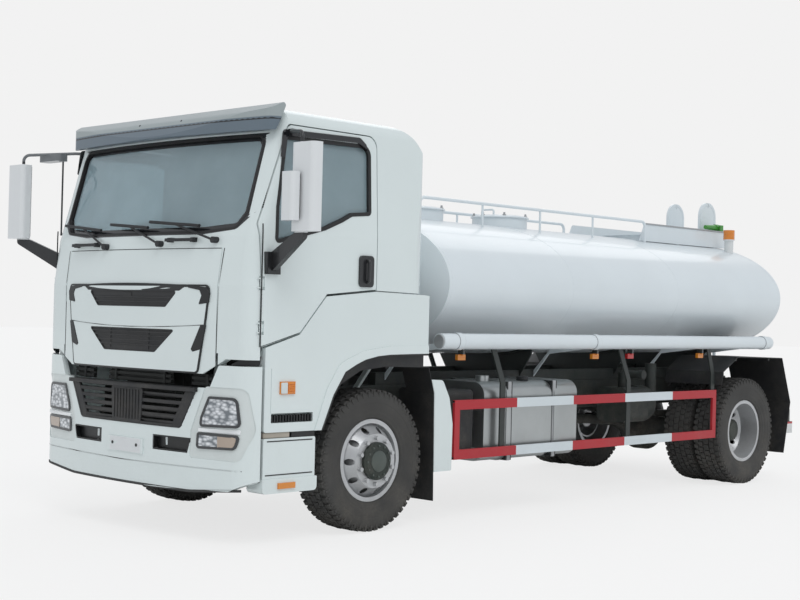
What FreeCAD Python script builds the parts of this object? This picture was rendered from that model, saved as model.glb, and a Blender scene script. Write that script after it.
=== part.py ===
import FreeCAD, Part
import math
import os

# White two-axle tank truck with a tilting cab, in millimetres.
# X points to the vehicle's left, Y to its rear, Z up from the ground.
# Y is counted from the front axle here; the export moves the whole truck
# so that the origin lies under the middle of its length.

Vec = FreeCAD.Vector

# ---------------------------------------------------------------- overall
WHEELBASE = 5200.0
FRONT_OVERHANG = 1345.0
REAR_OVERHANG = 1055.0
LENGTH = FRONT_OVERHANG + WHEELBASE + REAR_OVERHANG
FRONT_AXLE_Y = FRONT_OVERHANG - LENGTH / 2
FRONT_FACE = -FRONT_OVERHANG
REAR_FACE = WHEELBASE + REAR_OVERHANG
SEAT = 0.3
PANEL_GAP = 8.0
MOVING_GAP = 6.0
TINY = 1e-6

# ---------------------------------------------------------------- wheels
TYRE_RADIUS = 522.0
TYRE_WIDTH = 295.0
BEAD_RADIUS = 292.0
RIM_FLANGE_RADIUS = 302.0
RIM_WIDTH = 230.0
RIM_WALL = 9.0
AXLE_Z = TYRE_RADIUS
FRONT_WHEEL_X = 1030.0
REAR_TWIN_X = 907.5
TWIN_SPACING = 335.0
STUD_CIRCLE = 167.5
STUD_COUNT = 10
STUD_RADIUS = 15.0
HAND_HOLES = 10
HAND_HOLE_CIRCLE = 226.0
HAND_HOLE_RADIUS = 24.0
DRUM_RADIUS = 205.0
NUT_HEIGHT = 26.0
KINGPIN_X = 930.0
STEER_LIMIT = 34.0

# ---------------------------------------------------------------- frame
RAIL_OUT = 430.0
RAIL_FLANGE = 80.0
RAIL_SHEET = 8.0
RAIL_TOP = 1020.0
RAIL_HEIGHT = 260.0
RAIL_BOTTOM = RAIL_TOP - RAIL_HEIGHT
RAIL_FRONT = -1235.0
RAIL_REAR = 6110.0
CROSS_WIDTH = 90.0
CROSS_HEIGHT = 120.0
CROSS_AT = (1120.0, 2150.0, 3250.0, 4330.0, 5980.0)
CRADLE_FRONT = 760.0
CRADLE_REAR = 6080.0
CRADLE_TOP = 1120.0
CRADLE_WIDTH = 80.0
SADDLE_AT = (1180.0, 2600.0, 4050.0, 5560.0)
SADDLE_HALF = 560.0
SADDLE_SHEET = 12.0
SADDLE_DEPTH = 110.0

# ---------------------------------------------------------------- tank
TANK_HALF_WIDTH = 1150.0
TANK_HALF_HEIGHT = 580.0
TANK_Z = 1840.0
TANK_FRONT = 820.0
TANK_REAR = 5950.0
HEAD_DEPTH = 180.0
HEAD_KNUCKLE = 110.0

# ---------------------------------------------------------------- cab
CAB_HALF = 1235.0
CAB_WALL = 55.0
CAB_REAR = 500.0
CAB_BOW_RADIUS = 7000.0
CAB_CORNER = 150.0
CAB_REAR_CORNER = 190.0
CAB_ROOF = 2985.0
CAB_EDGE = 1155.0
CAB_FLOOR = 1300.0
FLOOR_SHEET = 50.0
TUNNEL_HALF = 460.0
TUNNEL_TOP = 1560.0
TUNNEL_FRONT = -750.0
WHEEL_HOUSE_X = 930.0
TILT_Y = -1200.0
TILT_Z = 800.0
TILT_LIMIT = 50.0
DOOR_FRONT = -1152.0
DOOR_REAR = -75.0
DOOR_TOP = 2870.0
# Nose of the cab at each level: height, Y of the foremost point.
CAB_LEVELS = (
    (CAB_EDGE, -1335.0),
    (1760.0, -1335.0),
    (2100.0, -1290.0),
    (3020.0, -1032.0),
)
ROOF_HALF = 1196.0
LEAN_FROM = 2130.0
# Lower edge of the cab's side: Y, Z.  The front step panel runs just under it.
SILL_LINE = (
    (-1152.0, 1350.0),
    (-805.0, 1446.0),
    (-560.0, 1714.0),
    (-70.0, 1761.0),
    (440.0, 1750.0),
    (CAB_REAR + 40, 1747.0),
)


# ---------------------------------------------------------------- helpers
def rounded_wire(corners, closed):
    """Lines through (point, radius) corners, with an arc wherever the radius isn't 0."""
    count = len(corners)
    pieces = []
    for index, (here, radius) in enumerate(corners):
        bends = radius and (closed or 0 < index < count - 1)
        if not bends:
            pieces.append((here, None, here))
            continue
        back = (corners[index - 1][0] - here).normalize()
        ahead = (corners[(index + 1) % count][0] - here).normalize()
        half = back.getAngle(ahead) / 2
        reach = radius / math.tan(half)
        toward = (back + ahead).normalize()
        middle = here + toward * (radius / math.sin(half) - radius)
        pieces.append((here + back * reach, middle, here + ahead * reach))
    edges = []
    for index, (start, middle, end) in enumerate(pieces):
        if middle:
            edges.append(Part.Arc(start, middle, end).toShape())
        if closed or index < count - 1:
            following = pieces[(index + 1) % count][0]
            if end.distanceToPoint(following) > TINY:
                edges.append(Part.makeLine(end, following))
    return Part.Wire(edges)


def corners_of(points, place):
    """Corners for rounded_wire from (a, b) or (a, b, radius) tuples."""
    return [(place(p[0], p[1]), p[2] if len(p) > 2 else 0) for p in points]


def plate_x(points, x0, x1):
    """Prism along X from a (Y, Z) outline."""
    wire = rounded_wire(corners_of(points, lambda a, b: Vec(x0, a, b)), True)
    return Part.Face(wire).extrude(Vec(x1 - x0, 0, 0))


def plate_y(points, y0, y1):
    """Prism along Y from an (X, Z) outline."""
    wire = rounded_wire(corners_of(points, lambda a, b: Vec(a, y0, b)), True)
    return Part.Face(wire).extrude(Vec(0, y1 - y0, 0))


def plate_z(points, z0, z1):
    """Prism along Z from an (X, Y) outline."""
    wire = rounded_wire(corners_of(points, lambda a, b: Vec(a, b, z0)), True)
    return Part.Face(wire).extrude(Vec(0, 0, z1 - z0))


def box(x0, x1, y0, y1, z0, z1):
    return Part.makeBox(x1 - x0, y1 - y0, z1 - z0, Vec(x0, y0, z0))


def rod(start, end, radius):
    start = Vec(*start)
    run = Vec(*end) - start
    return Part.makeCylinder(radius, run.Length, start, run)


def pipe(points, radius):
    """Round bar along (X, Y, Z) or (X, Y, Z, bend radius) points."""
    corners = [(Vec(p[0], p[1], p[2]), p[3] if len(p) > 3 else 0) for p in points]
    path = rounded_wire(corners, False)
    run = corners[1][0] - corners[0][0]
    ring = Part.Wire(Part.makeCircle(radius, corners[0][0], run))
    return path.makePipeShell([ring], True, False)


def turned_x(profile, x, y, z):
    """Body of revolution about an X axis, from (X, radius) or rounded corners."""
    wire = rounded_wire(corners_of(profile, lambda a, b: Vec(a, 0, b)), True)
    body = Part.Face(wire).revolve(Vec(0, 0, 0), Vec(1, 0, 0), 360)
    body.translate(Vec(x, y, z))
    return body


def turned_z(profile, x, y, z):
    """Body of revolution about a Z axis, from (radius, Z) corners."""
    wire = rounded_wire(corners_of(profile, lambda a, b: Vec(a, 0, b)), True)
    body = Part.Face(wire).revolve(Vec(0, 0, 0), Vec(0, 0, 1), 360)
    body.translate(Vec(x, y, z))
    return body


def union(shapes):
    return shapes[0].multiFuse(shapes[1:]).removeSplitter()


def mirrored(shape):
    return shape.mirror(Vec(0, 0, 0), Vec(1, 0, 0))


def group(shapes):
    return Part.makeCompound(shapes)


def pair(shape):
    return group([shape, mirrored(shape)])


def moved(shape, x, y, z):
    copy = shape.copy()
    copy.translate(Vec(x, y, z))
    return copy


parts = {}

# ================================================================ wheels
# Tyre section about its own middle plane: crown, shoulders, walls and beads; the closed inside is left solid.
HALF_TREAD = TYRE_WIDTH / 2 - 22
BEAD_X = RIM_WIDTH / 2 - 11 - SEAT
BULGE_RADIUS = 440.0
TYRE_SECTION = (
    (-HALF_TREAD, TYRE_RADIUS),
    (HALF_TREAD, TYRE_RADIUS),
    (TYRE_WIDTH / 2, BULGE_RADIUS),
    (BEAD_X, RIM_FLANGE_RADIUS + 2),
    (BEAD_X, BEAD_RADIUS - 12),
    (-BEAD_X, BEAD_RADIUS - 12),
    (-BEAD_X, RIM_FLANGE_RADIUS + 2),
    (-TYRE_WIDTH / 2, BULGE_RADIUS),
)
DISC_SHEET = 14.0
SEAT_RADIUS = BEAD_RADIUS - 12 - SEAT


def rim(disc_x, hub_x, side):
    """Rim barrel with flanges, and a disc from the well at disc_x to the hub face at hub_x."""
    half = RIM_WIDTH / 2
    inner = SEAT_RADIUS - RIM_WALL
    barrel = turned_x(
        (
            (-half, RIM_FLANGE_RADIUS),
            (-half + 11, RIM_FLANGE_RADIUS),
            (-half + 11, SEAT_RADIUS),
            (half - 11, SEAT_RADIUS),
            (half - 11, RIM_FLANGE_RADIUS),
            (half, RIM_FLANGE_RADIUS),
            (half, inner),
            (-half, inner),
        ),
        0, 0, 0)
    thick = DISC_SHEET * side
    disc = turned_x(
        (
            (disc_x, inner + 4),
            (disc_x - thick, inner + 4),
            (hub_x - thick, STUD_CIRCLE + 34),
            (hub_x - thick, 142.0),
            (hub_x, 142.0),
            (hub_x, STUD_CIRCLE + 30),
        ),
        0, 0, 0)
    holes = []
    low = min(disc_x, hub_x) - 60
    for step in range(HAND_HOLES):
        angle = 2 * math.pi * step / HAND_HOLES
        y = HAND_HOLE_CIRCLE * math.cos(angle)
        z = HAND_HOLE_CIRCLE * math.sin(angle)
        reach = abs(disc_x - hub_x) + 120
        holes.append(rod((low, y, z), (low + reach, y, z), HAND_HOLE_RADIUS))
    disc = disc.cut(group(holes))
    nuts = []
    for step in range(STUD_COUNT):
        angle = 2 * math.pi * (step + 0.5) / STUD_COUNT
        y = STUD_CIRCLE * math.cos(angle)
        z = STUD_CIRCLE * math.sin(angle)
        nuts.append(rod((hub_x - thick / 2, y, z), (hub_x + NUT_HEIGHT * side, y, z), STUD_RADIUS))
    return union([barrel, disc] + nuts)


TYRE = turned_x(TYRE_SECTION, 0, 0, 0)
PILOT_RADIUS = 142.0 - SEAT
SPINDLE_RADIUS = 45.0
SPINDLE_END = 95.0
BEARING_GAP = 0.5
AXLE_TUBE_RADIUS = 60.0
AXLE_TUBE_END = -70.0
# Front hub about the wheel's middle plane: drum, flange, pilot and cap over a blind bore.
FRONT_FACE_X = 168.0
CAP_RADIUS = 138.0
CAP_X = 203.0
FLANGE_X = FRONT_FACE_X - DISC_SHEET - SEAT
FRONT_HUB = turned_x(
    (
        (SPINDLE_END + BEARING_GAP, 0),
        (CAP_X, 0),
        (CAP_X, CAP_RADIUS - 22),
        (CAP_X - 12, CAP_RADIUS),
        (FRONT_FACE_X, CAP_RADIUS),
        (FRONT_FACE_X, PILOT_RADIUS),
        (FLANGE_X, PILOT_RADIUS),
        (FLANGE_X, DRUM_RADIUS),
        (-30.0, DRUM_RADIUS),
        (-30.0, DRUM_RADIUS - 15),
        (FLANGE_X - 22, DRUM_RADIUS - 15),
        (FLANGE_X - 22, 82.0),
        (-20.0, 82.0),
        (-20.0, SPINDLE_RADIUS + BEARING_GAP),
        (SPINDLE_END + BEARING_GAP, SPINDLE_RADIUS + BEARING_GAP),
    ),
    0, 0, 0)
# Rear hub about the middle plane between the twins.
REAR_FLANGE_X = -DISC_SHEET - SEAT
REAR_HUB = turned_x(
    (
        (AXLE_TUBE_END + BEARING_GAP, 0),
        (176.0, 0),
        (176.0, 74.0, 10),
        (160.0, 104.0, 6),
        (24.0, 112.0),
        (24.0, PILOT_RADIUS),
        (REAR_FLANGE_X, PILOT_RADIUS),
        (REAR_FLANGE_X, DRUM_RADIUS),
        (-200.0, DRUM_RADIUS),
        (-200.0, DRUM_RADIUS - 15),
        (REAR_FLANGE_X - 26, DRUM_RADIUS - 15),
        (REAR_FLANGE_X - 26, 95.0),
        (-190.0, 95.0),
        (-190.0, AXLE_TUBE_RADIUS + BEARING_GAP),
        (AXLE_TUBE_END + BEARING_GAP, AXLE_TUBE_RADIUS + BEARING_GAP),
    ),
    0, 0, 0)
FRONT_RIM = rim(62.0, FRONT_FACE_X, 1)
TWIN_HALF = TWIN_SPACING / 2
OUTER_RIM = moved(rim(-70.0, DISC_SHEET + SEAT / 2 - TWIN_HALF, 1), TWIN_HALF, 0, 0)
INNER_RIM = mirrored(OUTER_RIM)
TWIN_TYRES = group([moved(TYRE, TWIN_HALF, 0, 0), moved(TYRE, -TWIN_HALF, 0, 0)])
FRONT_WHEEL = (("tyre", TYRE), ("rim", group([FRONT_RIM, FRONT_HUB])))
REAR_WHEEL = (
    ("tyres", TWIN_TYRES),
    ("rims", group([OUTER_RIM, INNER_RIM, REAR_HUB])),
)
for axle, pieces, x, y in (
    ("front", FRONT_WHEEL, FRONT_WHEEL_X, 0.0),
    ("rear", REAR_WHEEL, REAR_TWIN_X, WHEELBASE),
):
    for piece, shape in pieces:
        left = moved(shape, x, y, AXLE_Z)
        parts[piece + "_" + axle + "_left"] = left
        parts[piece + "_" + axle + "_right"] = mirrored(left)

# ================================================================ front axle
BEAM_HALF = 32.0
BEAM_DROP_Z = 400.0
BEAM_EYE_RADIUS = 48.0
PIN_RADIUS = 24.0
PIN_GAP = 0.5
FORK_GAP = 3.0
EYE_HALF = 58.0
axle_beam = plate_y(
    (
        (-KINGPIN_X, AXLE_Z + EYE_HALF), (-KINGPIN_X, AXLE_Z - EYE_HALF),
        (-640.0, AXLE_Z - EYE_HALF, 40), (-520.0, BEAM_DROP_Z, 60),
        (520.0, BEAM_DROP_Z, 60), (640.0, AXLE_Z - EYE_HALF, 40),
        (KINGPIN_X, AXLE_Z - EYE_HALF), (KINGPIN_X, AXLE_Z + EYE_HALF),
        (820.0, AXLE_Z + EYE_HALF, 30), (700.0, AXLE_Z + 20, 60),
        (480.0, BEAM_DROP_Z + 85, 60), (-480.0, BEAM_DROP_Z + 85, 60),
        (-700.0, AXLE_Z + 20, 60), (-820.0, AXLE_Z + EYE_HALF, 30),
    ),
    -BEAM_HALF, BEAM_HALF)
WEB = 11.0
for y0, y1 in ((-BEAM_HALF - 5, -WEB), (WEB, BEAM_HALF + 5)):
    axle_beam = axle_beam.cut(box(-330, 330, y0, y1, BEAM_DROP_Z + 18, BEAM_DROP_Z + 67))
eyes = [
    rod((x, 0, AXLE_Z - EYE_HALF), (x, 0, AXLE_Z + EYE_HALF), BEAM_EYE_RADIUS)
    for x in (-KINGPIN_X, KINGPIN_X)
]
bores = [
    rod((x, 0, AXLE_Z - EYE_HALF - 5), (x, 0, AXLE_Z + EYE_HALF + 5), PIN_RADIUS + PIN_GAP)
    for x in (-KINGPIN_X, KINGPIN_X)
]
parts["front_axle_beam"] = union([axle_beam] + eyes).cut(group(bores))

# Knuckle: fork with its kingpin, flange, spindle and the tie rod's arm.
FORK_HALF = 44.0
FORK_TIP = 30.0
FLANGE_RADIUS = 150.0
KNUCKLE_X = 994.0
ARM_END = (KINGPIN_X, 165.0)
ARM_Z = 420.0
fork_top = AXLE_Z + EYE_HALF + FORK_GAP
fork_low = AXLE_Z - EYE_HALF - FORK_GAP
ears = []
for z0, z1 in ((fork_top, fork_top + FORK_TIP), (fork_low - FORK_TIP, fork_low)):
    ears.append(box(KINGPIN_X, KNUCKLE_X, -FORK_HALF, FORK_HALF, z0, z1))
    ears.append(rod((KINGPIN_X, 0, z0), (KINGPIN_X, 0, z1), FORK_HALF))
kingpin = rod((KINGPIN_X, 0, fork_low - FORK_TIP), (KINGPIN_X, 0, fork_top + FORK_TIP), PIN_RADIUS)
flange = rod((KNUCKLE_X - 12, 0, AXLE_Z), (KNUCKLE_X, 0, AXLE_Z), FLANGE_RADIUS)
spindle = rod((KNUCKLE_X, 0, AXLE_Z), (FRONT_WHEEL_X + SPINDLE_END, 0, AXLE_Z), SPINDLE_RADIUS)
arm = plate_z(
    (
        (KINGPIN_X - 20, 0), (KNUCKLE_X - 4, 0), (KNUCKLE_X - 4, 60, 20),
        (ARM_END[0] + 26, ARM_END[1] + 20, 15), (ARM_END[0] - 26, ARM_END[1] + 20, 15),
        (ARM_END[0] - 26, ARM_END[1] - 50, 20),
    ),
    fork_low - FORK_TIP, fork_low)
BALL_RADIUS = 12.0
arm_ball = rod((ARM_END[0], ARM_END[1], ARM_Z - 70), (ARM_END[0], ARM_END[1], fork_low - 2), BALL_RADIUS)
knuckle = union(ears + [kingpin, flange, spindle, arm, arm_ball])
parts["knuckle_left"] = knuckle
parts["knuckle_right"] = mirrored(knuckle)
ROD_Z = fork_low - FORK_TIP - 26.0
tie_bar = rod((-ARM_END[0] + 20, ARM_END[1], ROD_Z), (ARM_END[0] - 20, ARM_END[1], ROD_Z), 19.0)
tie_ends = []
for x in (-ARM_END[0], ARM_END[0]):
    tie_ends.append(rod((x, ARM_END[1], ROD_Z - 20), (x, ARM_END[1], ROD_Z + 20), 30.0))
tie_rod = union([tie_bar] + tie_ends)
for x in (-ARM_END[0], ARM_END[0]):
    tie_rod = tie_rod.cut(rod((x, ARM_END[1], ROD_Z - 60), (x, ARM_END[1], ROD_Z + 60), BALL_RADIUS + PIN_GAP))
parts["tie_rod"] = tie_rod

# ================================================================ frame
rail = plate_y(
    (
        (RAIL_OUT, RAIL_BOTTOM, 12), (RAIL_OUT, RAIL_TOP, 12),
        (RAIL_OUT - RAIL_FLANGE, RAIL_TOP), (RAIL_OUT - RAIL_FLANGE, RAIL_TOP - RAIL_SHEET),
        (RAIL_OUT - RAIL_SHEET, RAIL_TOP - RAIL_SHEET, 5),
        (RAIL_OUT - RAIL_SHEET, RAIL_BOTTOM + RAIL_SHEET, 5),
        (RAIL_OUT - RAIL_FLANGE, RAIL_BOTTOM + RAIL_SHEET), (RAIL_OUT - RAIL_FLANGE, RAIL_BOTTOM),
    ),
    RAIL_FRONT, RAIL_REAR)
parts["frame_rails"] = pair(rail)

INSIDE = RAIL_OUT - RAIL_SHEET - SEAT
CROSS_TOP = RAIL_TOP - RAIL_SHEET - 30.0
crosses = []
for y in CROSS_AT:
    solid = box(-INSIDE, INSIDE, y - CROSS_WIDTH / 2, y + CROSS_WIDTH / 2, CROSS_TOP - CROSS_HEIGHT, CROSS_TOP)
    hollow = box(-INSIDE - 1, INSIDE + 1, y - CROSS_WIDTH / 2 + 8, y + CROSS_WIDTH / 2 + 1,
                 CROSS_TOP - CROSS_HEIGHT + 8, CROSS_TOP - 8)
    crosses.append(solid.cut(hollow))
crosses.append(rod((-INSIDE, -1160, 900), (INSIDE, -1160, 900), 45.0))
parts["frame_crossmembers"] = group(crosses)

# Tank cradle: two long beams on the rails and curved saddle plates under the tank.
def ellipse_prism(half_width, half_height, y0, y1):
    ellipse = Part.Ellipse(Vec(half_width, 0, 0), Vec(0, half_height, 0), Vec(0, 0, 0))
    face = Part.Face(Part.Wire(ellipse.toShape()))
    face.rotate(Vec(0, 0, 0), Vec(1, 0, 0), 90)
    face.translate(Vec(0, y0, TANK_Z))
    return face.extrude(Vec(0, y1 - y0, 0))


beams = []
CRADLE_OUT = RAIL_OUT - 2.0
for side in (-1, 1):
    x0, x1 = sorted((side * (CRADLE_OUT - CRADLE_WIDTH), side * CRADLE_OUT))
    beams.append(box(x0, x1, CRADLE_FRONT, CRADLE_REAR, RAIL_TOP + SEAT, CRADLE_TOP))
saddles = []
for y in SADDLE_AT:
    saddles.append(plate_y(
        ((-SADDLE_HALF, 1330), (-SADDLE_HALF, 1270), (-CRADLE_OUT, RAIL_TOP + 40),
         (CRADLE_OUT, RAIL_TOP + 40), (SADDLE_HALF, 1270), (SADDLE_HALF, 1330)),
        y - SADDLE_SHEET / 2, y + SADDLE_SHEET / 2))
    saddles.append(plate_y(
        ((-SADDLE_HALF - 20, 1420), (-SADDLE_HALF - 20, 1230), (SADDLE_HALF + 20, 1230),
         (SADDLE_HALF + 20, 1420)),
        y - SADDLE_DEPTH / 2, y + SADDLE_DEPTH / 2).cut(
            plate_y(((-SADDLE_HALF - 30, 1000), (SADDLE_HALF + 30, 1000), (SADDLE_HALF + 30, 1221),
                     (-SADDLE_HALF - 30, 1221)), y - SADDLE_DEPTH, y + SADDLE_DEPTH)).common(
            ellipse_prism(TANK_HALF_WIDTH + 14, TANK_HALF_HEIGHT + 14, y - SADDLE_DEPTH, y + SADDLE_DEPTH)))
cradle = union(beams + saddles)
cradle = cradle.cut(ellipse_prism(
    TANK_HALF_WIDTH + SEAT, TANK_HALF_HEIGHT + SEAT, CRADLE_FRONT - 100, CRADLE_REAR + 100))
parts["tank_cradle"] = cradle

# ================================================================ tank
# Turned as a round barrel with dished heads, then flattened to its oval section.
HEAD_RADIUS = (TANK_HALF_WIDTH ** 2 + HEAD_DEPTH ** 2) / (2 * HEAD_DEPTH)


def head_arc(y, sign):
    """Meridian of one dished head: centre point first."""
    tip = Vec(0, y + sign * HEAD_DEPTH, 0)
    rim_point = Vec(TANK_HALF_WIDTH, y, 0)
    centre_y = y + sign * (HEAD_DEPTH - HEAD_RADIUS)
    half_angle = math.asin(TANK_HALF_WIDTH / HEAD_RADIUS) / 2
    middle = Vec(HEAD_RADIUS * math.sin(half_angle), centre_y + sign * HEAD_RADIUS * math.cos(half_angle), 0)
    return tip, middle, rim_point


front_tip, front_mid, front_rim = head_arc(TANK_FRONT, -1)
rear_tip, rear_mid, rear_rim = head_arc(TANK_REAR, 1)
meridian = Part.Wire([
    Part.Arc(front_tip, front_mid, front_rim).toShape(),
    Part.makeLine(front_rim, rear_rim),
    Part.Arc(rear_rim, rear_mid, rear_tip).toShape(),
    Part.makeLine(rear_tip, front_tip),
])
barrel = Part.Face(meridian).revolve(Vec(0, 0, 0), Vec(0, 1, 0), 360)
flatten = FreeCAD.Matrix()
flatten.A33 = TANK_HALF_HEIGHT / TANK_HALF_WIDTH
barrel = barrel.transformGeometry(flatten)
barrel.translate(Vec(0, 0, TANK_Z))
parts["tank"] = barrel


def tank_top(x):
    """Height of the tank's top at a distance x from the middle."""
    return TANK_Z + TANK_HALF_HEIGHT * math.sqrt(1 - (x / TANK_HALF_WIDTH) ** 2)


# ================================================================ cab
def bowed_section(z, nose, half, corner, rear, inset):
    """Plan outline with a bowed nose, round front corners and straight sides."""
    bow = CAB_BOW_RADIUS - inset
    corner = corner - inset
    half = half - inset
    nose = nose + inset
    bow_centre = Vec(0, nose + bow, z)
    corner_x = half - corner
    corner_y = bow_centre.y - math.sqrt((bow - corner) ** 2 - corner_x ** 2)
    centre = Vec(corner_x, corner_y, z)
    out = (centre - bow_centre).normalize()
    meet = bow_centre + out * bow
    angle = math.atan2(out.y, out.x) / 2
    middle = centre + Vec(math.cos(angle), math.sin(angle), 0) * corner
    side_front = Vec(half, corner_y, z)
    side_rear = Vec(half, rear, z)

    def flip(v):
        return Vec(-v.x, v.y, v.z)

    return Part.Face(Part.Wire([
        Part.Arc(flip(meet), Vec(0, nose, z), meet).toShape(),
        Part.Arc(meet, middle, side_front).toShape(),
        Part.makeLine(side_front, side_rear),
        Part.makeLine(side_rear, flip(side_rear)),
        Part.makeLine(flip(side_rear), flip(side_front)),
        Part.Arc(flip(side_front), flip(middle), flip(meet)).toShape(),
    ]))


ROOF_FRONT_ROUND = 150.0
ROOF_REAR_ROUND = 430.0
ROOF_SIDE_ROUND = 110.0


def cab_solid(inset):
    """Whole cab body, shrunk evenly on every side."""
    stack = []
    for (z0, nose0), (z1, nose1) in zip(CAB_LEVELS, CAB_LEVELS[1:]):
        face = bowed_section(z0, nose0, CAB_HALF, CAB_CORNER, 1400.0, inset)
        stack.append(face.extrude(Vec(0, nose1 - nose0, z1 - z0)))
    body = union(stack)
    roof = CAB_ROOF - inset
    rear = CAB_REAR - inset
    side = plate_x(
        (
            (-1700.0, 1000.0), (-1700.0, 2300.0), (-1090.0 + inset, 2880.0 - inset / 2),
            (-900.0 + inset, roof, ROOF_FRONT_ROUND), (rear, roof, ROOF_REAR_ROUND - inset),
            (rear, 1000.0),
        ),
        -1500, 1500)
    slope = (CAB_HALF - ROOF_HALF) / (CAB_ROOF - LEAN_FROM)
    top = ROOF_HALF - inset
    drop = 1500.0
    front = plate_y(
        (
            (-top - slope * drop, roof - drop), (-top, roof + 0.5, ROOF_SIDE_ROUND - inset / 2),
            (top, roof + 0.5, ROOF_SIDE_ROUND - inset / 2), (top + slope * drop, roof - drop),
            (top + slope * drop, 1000.0), (-top - slope * drop, 1000.0),
        ),
        -1800, 1600)
    back = CAB_REAR_CORNER - inset
    half = CAB_HALF - inset
    flat_rear = rear - 0.5
    plan = plate_z(
        (
            (-half - 3, -1700.0), (half + 3, -1700.0), (half + 3, flat_rear, back), (-half - 3, flat_rear, back),
        ),
        900, 3200)
    return body.common(front).common(side).common(plan)


def sill_points(rise):
    return [(y, z + rise) for y, z in SILL_LINE]


def below_sill(x0, x1, rise, front):
    """Everything under the sill line between two x values."""
    points = sill_points(rise)
    points = [(front, 1100.0), (front, points[0][1])] + points + [(points[-1][0], 1100.0)]
    return plate_x(points, x0, x1)


def door_outline(gap):
    """Door edge seen from the side, grown by gap."""
    low = [(y, z - gap) for y, z in SILL_LINE[1:4]]
    return (
        [(DOOR_FRONT - gap, SILL_LINE[0][1] - gap)] + low
        + [(DOOR_REAR + gap, SILL_LINE[3][1] - gap), (DOOR_REAR + gap, DOOR_TOP + gap, 90.0),
           (-925.0 - gap, DOOR_TOP + gap, 40.0), (DOOR_FRONT - gap, 2180.0, 60.0)]
    )


DOOR_RISE = PANEL_GAP


def door_prism(gap, x0, x1):
    points = door_outline(gap)
    points = [(p[0], p[1] + DOOR_RISE, *p[2:]) if i < 5 else p for i, p in enumerate(points)]
    return plate_x(points, x0, x1)


DOOR_WINDOW = (
    (-1050.0, 2052.0, 30), (-590.0, 2172.0, 60), (-420.0, 2240.0, 40), (-330.0, 2285.0, 40),
    (-140.0, 2303.0, 30), (-140.0, 2805.0, 80), (-960.0, 2790.0, 30), (-1040.0, 2300.0, 60),
)
SCREEN_HALF = 1072.0
WINDSHIELD = (
    (-SCREEN_HALF, 2255.0, 50), (-1000.0, 2152.0, 70), (-700.0, 2128.0, 200), (700.0, 2128.0, 200),
    (1000.0, 2152.0, 70), (SCREEN_HALF, 2255.0, 50), (SCREEN_HALF, 2800.0, 80), (-SCREEN_HALF, 2800.0, 80),
)
outer = cab_solid(0)
inner = cab_solid(CAB_WALL)
CORNER_EDGE = 1262.0
DOOR_SKIN_X = 1100.0
# Door glass lies 20 mm behind the skin.
GLASS_IN = 20.0
GLASS_SHEET = 4.0
corner_under = plate_y(
    ((780.0, CAB_EDGE - 5), (930.0, 1222.0), (1000.0, CORNER_EDGE), (1300.0, CORNER_EDGE),
     (1300.0, 1000.0), (780.0, 1000.0)),
    -1500, DOOR_FRONT + 1)
under_left = below_sill(WHEEL_HOUSE_X, CAB_HALF + 30, 0, DOOR_FRONT)
under = [
    box(-WHEEL_HOUSE_X - 1, WHEEL_HOUSE_X + 1, -1275, CAB_REAR + 5, CAB_EDGE - 60, CAB_FLOOR),
    under_left, mirrored(under_left), corner_under, mirrored(corner_under),
]
hull = outer.cut(inner)
for piece in under:
    hull = hull.cut(piece)
door_left = outer.common(door_prism(0.0, DOOR_SKIN_X, 1300)).cut(inner)
door_room = door_prism(PANEL_GAP, DOOR_SKIN_X - 5, 1310)
windshield_hole = plate_y(WINDSHIELD, -1400, -700)
hull = hull.cut(door_room).cut(mirrored(door_room)).cut(windshield_hole)

# Floor pan with the engine tunnel and a raised step over each wheel house.
step_top = sill_points(FLOOR_SHEET)
step_over = plate_x(
    [(DOOR_FRONT - 100, CAB_FLOOR), (DOOR_FRONT - 100, step_top[0][1])] + step_top
    + [(step_top[-1][0], CAB_FLOOR)],
    WHEEL_HOUSE_X - 40, 1300)
pan = union([
    box(-1300, 1300, -1500, 700, CAB_FLOOR, CAB_FLOOR + FLOOR_SHEET),
    box(-TUNNEL_HALF - 40, TUNNEL_HALF + 40, TUNNEL_FRONT - 40, 700, CAB_FLOOR, TUNNEL_TOP + 40),
    step_over, mirrored(step_over),
])
pan = pan.cut(box(-TUNNEL_HALF, TUNNEL_HALF, TUNNEL_FRONT, 710, CAB_FLOOR - 10, TUNNEL_TOP))
pan = pan.cut(under_left).cut(mirrored(under_left))
pan = cab_solid(CAB_WALL - 20).common(pan).cut(door_room).cut(mirrored(door_room))
pan = pan.cut(box(-TUNNEL_HALF, TUNNEL_HALF, CAB_REAR - 100, CAB_REAR + 5, CAB_FLOOR - 10, TUNNEL_TOP))
hull = hull.cut(box(-TUNNEL_HALF, TUNNEL_HALF, CAB_REAR - 100, CAB_REAR + 5, CAB_EDGE - 60, TUNNEL_TOP))
shell = hull.fuse(pan)
window_left = plate_x(DOOR_WINDOW, 1000, 1300)


def skin_sheet(hole, dx, dy):
    """Sheet inside a hole: the skin moved inward, with the same skin moved further cut away."""
    deep = 1 + GLASS_SHEET / GLASS_IN
    near = moved(outer, dx * GLASS_IN, dy * GLASS_IN, 0)
    far = moved(outer, dx * GLASS_IN * deep, dy * GLASS_IN * deep, 0)
    return near.common(hole).cut(far)


(low_z, low_nose), (high_z, high_nose) = CAB_LEVELS[2:4]
panes = []
for inset in (GLASS_IN, GLASS_IN + GLASS_SHEET):
    face = bowed_section(low_z, low_nose, CAB_HALF, CAB_CORNER, 0.0, inset)
    panes.append(face.extrude(Vec(0, high_nose - low_nose, high_z - low_z)))
parts["windscreen"] = panes[0].common(windshield_hole).cut(panes[1])
door_glass = skin_sheet(window_left, -1, 0)
door_left = door_left.cut(window_left)

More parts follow.
